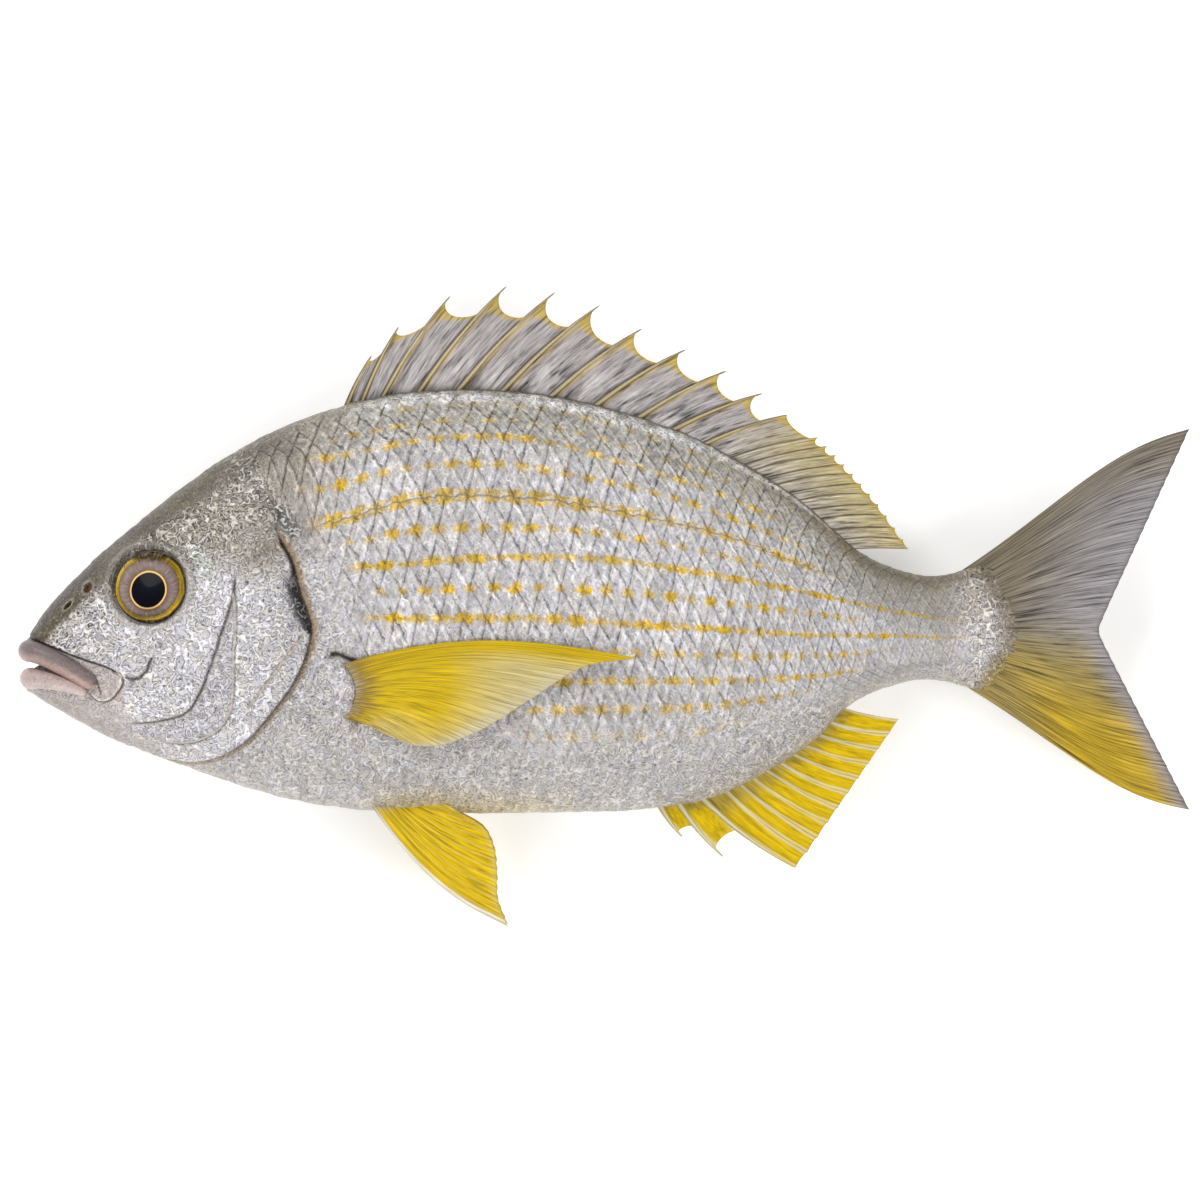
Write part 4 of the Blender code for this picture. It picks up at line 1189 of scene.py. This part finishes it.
def eye_material(name):
    """Wet eye: radial fibres in the iris under a clear coat."""
    look = Look(name, roughness=0.45, coat=0.12, coat_roughness=0.10, specular=0.05)
    look.set("Coat IOR", 1.35)
    across, out = look.grid("Grid")
    fibres = look.noise(look.vector(across, out * 0.4), 0.8, detail=4.0, roughness=0.6)
    blotch = look.noise(look.place(), 1.6, detail=2.0)
    iris = look.attribute("iris")
    colour = look.colour_attribute("ground")
    colour = look.mix(look.ease(fibres, 0.50, 0.66) * iris * 0.25, colour, (0.56, 0.42, 0.20))
    colour = look.mix(look.ease(fibres, 0.48, 0.28) * iris * 0.6, colour, (0.07, 0.05, 0.04))
    colour = look.mix(look.ease(blotch, 0.50, 0.62) * iris * 0.35, colour, (0.20, 0.14, 0.11))
    look.set("Base Color", colour)
    look.bump(fibres * iris, 0.0001, 0.4)
    return look.material


# Fins

MEMBRANE = 0.00042
# Shares of a soft ray's length where it splits in two.
RAY_SPLITS = (0.30, 0.62)
# Points of each mesh across the rays and along them.
WEB_GRID = (23, 52)
CAUDAL_GRID = (240, 110)
PELVIC_GRID = (110, 80)
PECTORAL_GRID = (180, 90)
ROOT_DEPTH = 0.0035
FLOOR_CLEARANCE = 0.0003

# Dorsal spines as (x at the back, length, lean in degrees). The soft rays behind them
# go from the first to the last of each pair of values.
DORSAL_SPINES = (
    (-0.0659, 0.0139, 64), (-0.0620, 0.0210, 64), (-0.0569, 0.0310, 56),
    (-0.0477, 0.0352, 50), (-0.0377, 0.0354, 45), (-0.0264, 0.0334, 41),
    (-0.0140, 0.0292, 36), (-0.0026, 0.0273, 31), (0.0083, 0.0257, 27),
    (0.0171, 0.0250, 21), (0.0253, 0.0225, 18),
)
DORSAL_RAY_COUNT = 12
DORSAL_RAY_BASES = (0.0322, 0.0636)
DORSAL_RAY_LENGTHS = (0.0232, 0.0150)
DORSAL_RAY_LEANS = (12, -3)
# Where the web leaves a spine, where it meets the next, and how it sags between.
# The last value deepens the notches behind the first soft rays.
DORSAL_NOTCH = (0.95, 0.76, 0.105, 0.0)
ANAL_NOTCH = (0.86, 0.42, 0.10, 0.0)
SOFT_NOTCH = (1.0, 0.970, 0.030, 0.055)
ANAL_SOFT_NOTCH = (1.0, 0.990, 0.008, 0.0)
SPINE_FOOT_RADIUS = 0.00085
SPINE_TIP_RADIUS = 0.00018
SPINE_BOW = 0.035
SPINE_SWAY = 0.0004
SPINE_STEPS = 40
SPINE_SIDES = 16

# Anal spines as (foot, tip), and the first and last of the soft rays behind them.
ANAL_SPINES = (((0.0137, -0.0505), (0.0198, -0.0593)),
               ((0.0186, -0.0502), (0.0303, -0.0644)),
               ((0.0247, -0.0492), (0.0488, -0.0672)))
ANAL_RAY_COUNT = 10
ANAL_RAY_BASES = (0.0300, 0.0600)
ANAL_RAY_ENDS = ((0.0518, -0.0634), (0.0754, -0.0291))

# Feet and edges of the fans, each from its first ray to its last.
CAUDAL_FOOT = ((0.0880, 0.0068), (0.0880, -0.0182))
CAUDAL_TIPS = ((0.1500, 0.0453), (0.1500, -0.0524))
CAUDAL_FORK = (0.1262, -0.0065)
CAUDAL_FORK_ROUNDING = 0.0012
CAUDAL_BOW = {"depth": 0.0040, "power": 1.8, "spread": 2.0}
CAUDAL_RAYS = 17
PELVIC_FOOT = ((-0.0615, -0.0485), (-0.0478, -0.0490))
PELVIC_EDGE = ((-0.0248, -0.0820), (-0.0274, -0.0752), (-0.0276, -0.0684),
               (-0.0284, -0.0619), (-0.0303, -0.0576), (-0.0381, -0.0525))
PELVIC_BOW = {"depth": -0.0055, "power": 0.9, "spread": 1.2}
PELVIC_SPREAD = 0.0042
PELVIC_SPLAY = 0.0040
PELVIC_RAYS = 7
PECTORAL_FOOT = ((-0.0634, -0.0150), (-0.0634, -0.0287))
PECTORAL_FOOT_CURVE = 0.0030
PECTORAL_EDGE = ((0.0087, -0.0134), (-0.0042, -0.0153), (-0.0193, -0.0242),
                 (-0.0328, -0.0323), (-0.0435, -0.0358), (-0.0489, -0.0355),
                 (-0.0543, -0.0334))
PECTORAL_BOW = {"depth": 0.0054, "power": 0.85, "spread": 1.0}
PECTORAL_LIFT = 0.0018
PECTORAL_RAYS = 15
RIGHT_PECTORAL_TURN = math.radians(-19)
LOBE_CENTRE = (-0.0664, -0.0222)
LOBE_SIZE = (0.0032, 0.0060)

YELLOW = (0.61, 0.415, 0.003)
YELLOW_DEEP = (0.46, 0.30, 0.006)
FIN_GREY = (0.36, 0.33, 0.325)
FIN_BROWN = (0.075, 0.055, 0.030)


def bowed(base, tip, s, bow):
    """Points at shares s of rays that bow sideways by bow times their length."""
    base, tip = np.asarray(base), np.asarray(tip)
    run = tip - base
    swell = 4 * s * (1 - s) * bow
    return np.stack([base[..., 0] + run[..., 0] * s - run[..., 1] * swell,
                     base[..., 1] + run[..., 1] * s + run[..., 0] * swell], -1)


def dorsal_rays():
    """Foot and tip of each spine and soft ray along the back."""
    rays = list(DORSAL_SPINES)
    for t in np.linspace(0, 1, DORSAL_RAY_COUNT):
        rays.append(tuple(a + (b - a) * t for a, b in
                          (DORSAL_RAY_BASES, DORSAL_RAY_LENGTHS, DORSAL_RAY_LEANS)))
    feet_and_tips = []
    for x, length, lean in rays:
        y = float(smooth(BACK_LINE, x))
        angle = math.radians(lean)
        tip = (x + length * math.cos(angle), y + length * math.sin(angle))
        root = ROOT_DEPTH / length
        feet_and_tips.append(((x - (tip[0] - x) * root,
                               y - (tip[1] - y) * root - ROOT_DEPTH / 3), tip))
    return feet_and_tips


def anal_rays():
    """Foot and tip of each spine and soft ray behind the vent."""
    rays = list(ANAL_SPINES)
    for t in np.linspace(0, 1, ANAL_RAY_COUNT):
        x = ANAL_RAY_BASES[0] + (ANAL_RAY_BASES[1] - ANAL_RAY_BASES[0]) * t
        foot = (x, float(smooth(BELLY_LINE, x)) + 0.6 * ROOT_DEPTH)
        rays.append((foot, tuple(a + (b - a) * t for a, b in zip(*ANAL_RAY_ENDS))))
    return rays


def share_grid(counts):
    """Shares from 0 to 1 across a fin and along its rays."""
    across, along_rays = (np.linspace(0, 1, count) for count in counts)
    return np.meshgrid(across, along_rays, indexing="ij")


def ridges(count, sharpness=2.0):
    """1 on each whole number, falling to 0 between."""
    return (0.5 + 0.5 * np.cos(2 * math.pi * count)) ** sharpness


def branching(count, s):
    """Ridges of rays that split in two at each of the shares of their length."""
    height = ridges(count)
    for level, split in enumerate(RAY_SPLITS):
        finer = ridges(count * 2 ** (level + 1) + (0.5 if level == 0 else 0.0))
        height = height + (finer - height) * ease(s, split - 0.12, split + 0.12)
    return height


def web_part(ray, after, number, notch, soft, bow, colours):
    """The web between one ray and the next."""
    share, s = share_grid(WEB_GRID)
    high, low, sag = notch
    drop = 1 - sag * (4 * share * (1 - share)) ** 0.7
    first = bowed(*ray, s * high * drop, bow)
    second = bowed(*after, s * low * drop, bow)
    flat_points = first + (second - first) * share[..., None]
    slack = 0.0005 * np.sin(math.pi * share) * np.sin(math.pi * s) * (1 if number % 2 else -1)
    middle = np.concatenate([flat_points, slack[..., None]], -1)
    edge = 1 - 0.55 * ease(s, 0.85, 1.0)
    half = MEMBRANE / 2 * edge
    if soft:
        half = half + 0.00020 * ridges(share, 6.0) * edge
    count = number + share
    return shell_part(lay_down(middle, FLOOR_CLEARANCE), half, np.stack([count, s], -1),
                      colours(count, s, share))


def spine_part(ray, bow, sway, front, middle, rear):
    """A pointed spine: one colour in front, one along its middle, one behind. The middle faces the
    camera and is partly a painted highlight.
    """
    s = np.linspace(0, 1, SPINE_STEPS)
    path = np.concatenate([bowed(*ray, s, bow), (sway * s)[:, None]], -1)
    radii = SPINE_FOOT_RADIUS + (SPINE_TIP_RADIUS - SPINE_FOOT_RADIUS) * s**1.3
    radii = radii * np.sqrt(np.clip((1.0001 - s) / 0.03, 0.0, 1.0))

    def colour_at(share, angle):
        side = np.sin(angle) * (1 if bow > 0 else -1)
        # The middle colour faces the camera: partly the spine's own cream, partly a painted
        # highlight.
        paint = Paint(middle, side.shape)
        paint.over(ease(side, -0.05, 0.20), front)
        paint.over(ease(side, -0.30, -0.50), rear)
        paint.over(0.6 * ease(share, 0.70, 1.0), front)
        return paint.colour

    part = tube_part(path, radii, SPINE_SIDES, colour_at, squash=1.1)
    part["points"] = lay_down(part["points"], FLOOR_CLEARANCE)
    return part


def dorsal_colours(count, s, share):
    """Grey webs with a tan band behind each spine, a painted shadow line in front of the next spine
    and a yellow scalloped edge.
    """
    soft = ease(count, 9.6, 11.5)
    paint = Paint(FIN_GREY, s.shape)
    light = ease(s, 0.75, 0.20) * ease(share, 0.20, 0.45) * ease(share, 1.0, 0.7)
    paint.over(0.6 * light, (0.50, 0.475, 0.465))
    paint.over(soft * (0.25 + 0.60 * ease(s, 0.20, 0.90)), (0.46, 0.38, 0.17))
    band = ease(share, 0.22, 0.10) * (1 - soft)
    paint.over(0.70 * band, (0.40, 0.30, 0.13))
    # Painted shadow line on the web just in front of the next spine.
    paint.over(0.9 * ease(share, 0.88, 0.96) * (1 - 0.5 * soft), FIN_BROWN)
    pale = hump(share, 0.20, 0.07) * soft
    paint.over(0.65 * pale, (0.64, 0.58, 0.40))
    ray = np.maximum(ease(share, 0.12, 0.02), ease(share, 0.92, 0.99)) * soft
    paint.over(0.85 * ray * ease(s, 1.0, 0.8), (0.12, 0.085, 0.045))
    near_tip = ease(share, 0.50, 0.05)
    edge = ease(s, 0.94 - 0.12 * near_tip, 0.985 - 0.04 * near_tip)
    paint.over(0.90 * edge, (0.46, 0.335, 0.075))
    paint.over(0.70 * ease(s, 0.22, 0.14), (0.15, 0.13, 0.11))
    return paint.colour


def anal_colours(count, s, share):
    """Yellow webs, brownish at the root."""
    paint = Paint(YELLOW, s.shape)
    paint.over(0.55 * ease(s, 0.34, 0.12), (0.30, 0.24, 0.09))
    return paint.colour


def ray_fin(name, rays, spine_count, bow, sway, notches, colours, spine_colours, material):
    """A fin of webs between rays, with pointed spines in front."""
    parts = []
    for i in range(len(rays) - 1):
        soft = i >= spine_count - 1
        high, low, sag, deeper = notches[soft]
        deeper = deeper * math.exp(-(i - spine_count + 1) / 3)
        parts.append(web_part(rays[i], rays[i + 1], i, (high, low - deeper, sag + deeper / 2),
                              soft, bow, colours))
    dress(name + "_web", parts, material)
    spines = [spine_part(rays[k], bow, sway if k % 2 else -sway, *spine_colours)
              for k in range(spine_count)]
    dress(name + "_spines", spines, spine_material(name + "_spine"))


def caudal_edge(u):
    """The forked trailing edge of the tail: two straight arms."""
    (tip_x, top), (_, bottom) = CAUDAL_TIPS
    fork_x, fork_y = CAUDAL_FORK
    y = top + (bottom - top) * u
    reach = np.where(y > fork_y, top - fork_y, fork_y - bottom)
    away = np.hypot(y - fork_y, CAUDAL_FORK_ROUNDING) / np.hypot(reach, CAUDAL_FORK_ROUNDING)
    return np.stack([fork_x + (tip_x - fork_x) * away, y], -1)


def fan(foot, edge, bow, s, u):
    """Points of a fan of rays, u across it and s from foot to edge."""
    first, last = (np.array(p) for p in foot)
    base = first + (last - first) * u[..., None]
    tip = edge(u)
    swell = bow["depth"] * np.sin(math.pi * s ** bow["power"]) * (1 - bow["spread"] * u)
    points = base + (tip - base) * s[..., None]
    points[..., 1] += swell
    return points


def ragged(s, u, rays, depth):
    """Shares along the rays, cut back a little between their tips."""
    return s * (1 - depth * (1 - ridges(u * rays * 2, 1.0)) * s**3)


def fan_part(flat_points, out, u, s, rays, ridge, colour, flip):
    """A fan with raised branching rays, out being its height above the middle plane."""
    count = u * rays
    edge = 1 - 0.6 * ease(s, 0.80, 1.0)
    rim = ease(u, 0.0, 0.012) * ease(u, 1.0, 0.988)
    relief = branching(count, s) * ridge * edge * (0.4 + 0.6 * rim)
    middle = np.concatenate([flat_points, out[..., None]], -1)
    half = (MEMBRANE / 2 + relief) * edge
    return shell_part(lay_down(middle, FLOOR_CLEARANCE), half, np.stack([count, s], -1), colour,
                      flip)


def caudal_fin(material):
    """Grey-brown above, yellow below, the rays fanning out to the fork."""
    u, s = share_grid(CAUDAL_GRID)
    points = fan(CAUDAL_FOOT, caudal_edge, CAUDAL_BOW, ragged(s, u, CAUDAL_RAYS, 0.003), u)
    paint = Paint((0.25, 0.225, 0.205), u.shape)
    paint.over(0.7 * ease(s, 0.55, 0.95) * ease(u, 0.05, 0.2), (0.32, 0.30, 0.335))
    paint.over(0.7 * ease(u, 0.16, 0.0), (0.20, 0.165, 0.115))
    paint.over(0.85 * ease(s, 0.66, 0.30), (0.19, 0.155, 0.10))
    olive = ease(u, 0.46, 0.66) * ease(s + 0.25 * u, 1.15, 0.95)
    paint.over(0.85 * olive, (0.33, 0.245, 0.055))
    yellow = ease(u, 0.60, 0.86) * ease(s, 1.02, 0.86) * ease(s, 0.22, 0.58)
    tinge = ease(u, 0.62, 0.86) * ease(s, 0.66, 0.40)
    paint.over(0.75 * tinge, (0.30, 0.22, 0.07))
    paint.over(0.95 * yellow, (0.50, 0.33, 0.010))
    paint.over(0.5 * ease(s, 0.970, 1.0), (0.12, 0.105, 0.09))
    wave = 0.0009 * np.sin(6.0 * u + 1.2) * s**2
    fin = fan_part(points, wave, u, s, CAUDAL_RAYS, 0.00020, paint.colour, flip=True)
    dress("caudal_fin", [fin], material)


def pelvic_fin(name, side, material):
    """A yellow fin below the breast, white in front."""
    u, s = share_grid(PELVIC_GRID)
    points = fan(PELVIC_FOOT, lambda v: along(PELVIC_EDGE, v), PELVIC_BOW,
                 ragged(s, u, PELVIC_RAYS, 0.008), u)
    out = side * (PELVIC_SPREAD + PELVIC_SPLAY * s) + 0.0006 * np.sin(5 * u) * s
    paint = Paint(YELLOW, u.shape)
    paint.over(0.95 * ease(u, 0.060, 0.035), (0.72, 0.70, 0.64))
    paint.over(0.5 * ease(u, 0.70, 1.0), (0.60, 0.46, 0.08))
    paint.over(0.5 * ease(s, 0.92, 1.0), (0.60, 0.50, 0.14))
    paint.over(0.65 * ease(s, 0.13, 0.03), (0.60, 0.48, 0.33))
    fin = fan_part(points, out, u, s, PELVIC_RAYS, 0.00022, paint.colour, flip=True)
    dress(name, [fin], material)


def pectoral_fin(name, side, material):
    """A yellow fin on the flank, pale to the rear, brown at its root."""
    u, s = share_grid(PECTORAL_GRID)
    points = fan(PECTORAL_FOOT, lambda v: along(PECTORAL_EDGE, v), PECTORAL_BOW,
                 ragged(s, u, PECTORAL_RAYS, 0.006), u)
    points[..., 0] -= PECTORAL_FOOT_CURVE * (2 * u - 1) ** 2 * (1 - s) ** 4
    pivot = (np.array(PECTORAL_FOOT[0]) + np.array(PECTORAL_FOOT[1])) / 2
    turn = RIGHT_PECTORAL_TURN if side < 0 else 0.0
    spin = np.array([[math.cos(turn), -math.sin(turn)], [math.sin(turn), math.cos(turn)]])
    points = pivot + (points - pivot) @ spin.T
    out = flank(points[..., 0], points[..., 1]) + 0.0005 + PECTORAL_LIFT * s**1.5
    out = out + 0.0004 * np.sin(9 * u + 0.7) * s * (1 - 0.5 * u)
    if side < 0:
        room = REST_HEIGHT - droop(points[..., 0]) - FLOOR_CLEARANCE - MEMBRANE
        out = np.minimum(out, room)
    paint = Paint(YELLOW, u.shape)
    deep = ease(s, 0.55, 0.20) * ease(u, 0.75, 0.35)
    paint.over(0.35 * deep, YELLOW_DEEP)
    pale = ease(s - 0.62 * u, 0.22, 0.62) * ease(u, 0.08, 0.30)
    paint.over(0.90 * pale, (0.55, 0.47, 0.24))
    low = ease(u, 0.62, 0.95) * ease(s, 0.15, 0.45)
    paint.over(0.75 * low, (0.56, 0.46, 0.20))
    far = ease(s, 0.84, 1.0) * ease(u, 0.15, 0.35)
    paint.over(0.65 * far, (0.54, 0.50, 0.40))
    from_foot = np.hypot(*np.moveaxis(points - points[:, :1], -1, 0))
    hair = 0.0030 * bump_noise(u * 3.0, s * 0.4, 0.035, SEED + 8)
    root = ease(from_foot + hair, 0.0085, 0.0010)
    paint.over(0.85 * root, (0.20, 0.130, 0.050))
    paint.over(0.75 * ease(from_foot + hair, 0.0016, 0.0002), (0.42, 0.36, 0.34))
    fin = fan_part(points, side * out, u, s, PECTORAL_RAYS, 0.00016, paint.colour,
                   flip=side > 0)
    dress(name, [fin], material)


def fin_material(name, line, line_share, gap, gap_share, width, multiple=1.0, fine=8.0,
                 streaks=0.4):
    """Fin web: pale rays that split towards the edge, dark gaps, fine streaks.

    The width is that of a ray as a share of the distance between two rays.
    """
    look = Look(name, roughness=0.55, specular=0.12)
    count, s = look.grid("Grid")
    streak = look.noise(look.vector(count * fine, s * 3.0), 1.0, detail=3.0, roughness=0.6)
    hair = look.noise(look.vector(count * fine * 2.3, s * 5.0, 4.0), 1.0, detail=2.0)
    wander = (look.noise(look.vector(count * 1.5, s * 2.5), 1.0, detail=2.0) - 0.5) * 0.16
    from_ray = look.fract((count + wander) * multiple + 0.5) - 0.5
    reach = (s * 0.9 + 0.45) * width
    ray = look.ease(look.size(from_ray), reach + 0.07, reach * 0.45)
    split = look.ease(look.size(from_ray), reach * 0.60, reach * 0.10) * look.ease(s, 0.30, 0.60)
    ray = ray * (1.0 - split * 0.85)
    chance = look.scatter(look.vector(look.floor((count + wander) * multiple + 0.5), 1.0))
    shade = look.ease(look.size(from_ray - reach - 0.08), 0.10, 0.0)
    coarse = look.noise(look.vector(count * fine * 0.5, s * 3.0, 8.0), 1.0, detail=2.0)
    near_root = look.ease(s, 0.85, 0.30)
    bright = (look.ease(streak, 0.51, 0.64) + look.ease(hair, 0.52, 0.66) * 0.7
              + look.ease(coarse, 0.52, 0.62) * near_root)
    dim = (look.ease(streak, 0.49, 0.37) + look.ease(hair, 0.48, 0.35) * 0.7
           + look.ease(coarse, 0.48, 0.38) * near_root)
    tone = (bright * 0.30 - dim * 0.42) * streaks + 1.0
    colour = look.times(look.colour_attribute("ground"), tone)
    colour = look.mix(shade * gap_share * (0.5 + chance * 0.5), colour, gap)
    colour = look.mix(ray * line_share * (1.0 - chance * 0.4), colour, line)
    look.set("Base Color", colour)
    look.bump(ray * 0.5 - shade * 0.3 + streak * 0.6 + hair * 0.4, 0.00025, 0.6)
    return look.material


def spine_material(name):
    """Bony spine: cream along the middle, partly a painted highlight, brown along its edges, with
    fine grain.
    """
    look = Look(name, roughness=0.30, coat=0.3, coat_roughness=0.15)
    across, s = look.grid("Grid")
    streak = look.noise(look.vector(across * 30.0, s * 6.0), 1.0, detail=3.0)
    colour = look.colour_attribute("ground")
    colour = look.mix(look.ease(streak, 0.52, 0.72) * 0.35, colour, (0.80, 0.72, 0.50))
    colour = look.mix(look.ease(streak, 0.48, 0.30) * 0.35, colour, (0.20, 0.14, 0.07))
    look.set("Base Color", colour)
    look.bump(streak, 0.0001, 0.5)
    return look.material


# Stage

FLOOR_SIZE = 3.0
FLOOR_DROP = 0.0002
FLOOR_GLOW = 0.30
WORLD_LIGHT = 0.42
LIGHT_SIZE = 0.9
LIGHTS = {"key": ((-0.8, 1.1, 1.1), 17.0), "fill": ((1.1, -0.6, 1.1), 12.0),
          "rim": ((-0.9, -0.9, 1.0), 9.0)}


def stage():
    """A plain pale floor, just under the fish."""
    ends = np.array([-FLOOR_SIZE, FLOOR_SIZE])
    y, x = np.meshgrid(ends, ends, indexing="ij")
    corners = np.stack([x, y, np.full(x.shape, -FLOOR_DROP)], -1)
    floor = build("floor", [open_part(corners, corners[..., :2], np.ones((2, 2, 3)), flip=True)])
    look = Look("floor_white", roughness=0.9, specular=0.1)
    look.set("Base Color", (0.90, 0.90, 0.90))
    look.set("Emission Color", (1.0, 1.0, 1.0))
    look.set("Emission Strength", FLOOR_GLOW)
    floor.data.materials.append(look.material)


def area_light(name, place, power):
    """A soft round light that shines at the fish."""
    light = bpy.data.lights.new(name, "AREA")
    light.shape = "DISK"
    light.size = LIGHT_SIZE
    light.energy = power
    obj = bpy.data.objects.new(name, light)
    obj.location = place
    obj.rotation_euler = (-Vector(place)).to_track_quat("-Z", "Y").to_euler()
    bpy.context.scene.collection.objects.link(obj)


def lights_and_camera():
    """White surroundings, three soft lights, and a camera straight above."""
    world = bpy.data.worlds.new("studio")
    world.use_nodes = True
    background = world.node_tree.nodes["Background"]
    background.inputs["Color"].default_value = (1.0, 1.0, 1.0, 1.0)
    background.inputs["Strength"].default_value = WORLD_LIGHT
    scene = bpy.context.scene
    scene.world = world
    scene.view_settings.view_transform = "Standard"
    for name, (place, power) in LIGHTS.items():
        area_light(name, place, power)
    camera = bpy.data.cameras.new("camera")
    camera.sensor_width = SENSOR
    camera.lens = SENSOR * (CAMERA_HEIGHT - REST_HEIGHT) / VIEW_WIDTH
    camera.clip_end = 20.0
    obj = bpy.data.objects.new("camera", camera)
    obj.location = (*VIEW_CENTRE, CAMERA_HEIGHT)
    scene.collection.objects.link(obj)
    scene.camera = obj


def fins():
    """All fins with their materials."""
    dorsal = fin_material("dorsal_web", (0.56, 0.54, 0.54), 0.0, (0.20, 0.18, 0.185), 0.0, 0.08,
                          fine=10.0, streaks=0.95)
    ray_fin("dorsal", dorsal_rays(), len(DORSAL_SPINES), SPINE_BOW, SPINE_SWAY,
            (DORSAL_NOTCH, SOFT_NOTCH),
            dorsal_colours, (FIN_BROWN, (0.62, 0.50, 0.25), (0.30, 0.215, 0.075)), dorsal)
    banded = fin_material("anal_web", (0.66, 0.62, 0.44), 0.95, (0.36, 0.25, 0.004), 0.45, 0.12,
                          fine=7.0, streaks=0.5)
    ray_fin("anal", anal_rays(), len(ANAL_SPINES), -SPINE_BOW, 0.0,
            (ANAL_NOTCH, ANAL_SOFT_NOTCH), anal_colours,
            ((0.40, 0.32, 0.10), (0.74, 0.69, 0.50), (0.60, 0.48, 0.15)), banded)
    fine = fin_material("pelvic_web", (0.72, 0.56, 0.16), 0.70, (0.50, 0.28, 0.003), 0.60, 0.10,
                        multiple=2.0, fine=6.0, streaks=0.7)
    yellow = fin_material("pectoral_web", (0.68, 0.54, 0.10), 0.60, (0.34, 0.21, 0.003), 0.65,
                          0.12, multiple=2.0, fine=6.0, streaks=0.6)
    tail = fin_material("tail_web", (0.46, 0.41, 0.33), 0.30, (0.075, 0.060, 0.035), 0.50, 0.12,
                        multiple=5.0, fine=11.0, streaks=1.15)
    caudal_fin(tail)
    pelvic_fin("pelvic_fin_left", 1, fine)
    pelvic_fin("pelvic_fin_right", -1, fine)
    pectoral_fin("pectoral_fin_left", 1, yellow)
    pectoral_fin("pectoral_fin_right", -1, yellow)


def main():
    """The whole fish, its stage, its lights and the camera."""
    skins(skin_material("fish_skin"))
    lip_look = lip_material("lip_skin")
    lip("upper_lip", UPPER_LIP, (0.165, 0.128, 0.125), (0.40, 0.275, 0.24), lip_look)
    lip("lower_lip", LOWER_LIP, (0.42, 0.315, 0.295), (0.52, 0.43, 0.41), lip_look)
    eye_look = eye_material("eye_wet")
    eye("eye_left", 1, eye_look)
    eye("eye_right", -1, eye_look)
    fins()
    stage()
    lights_and_camera()


main()
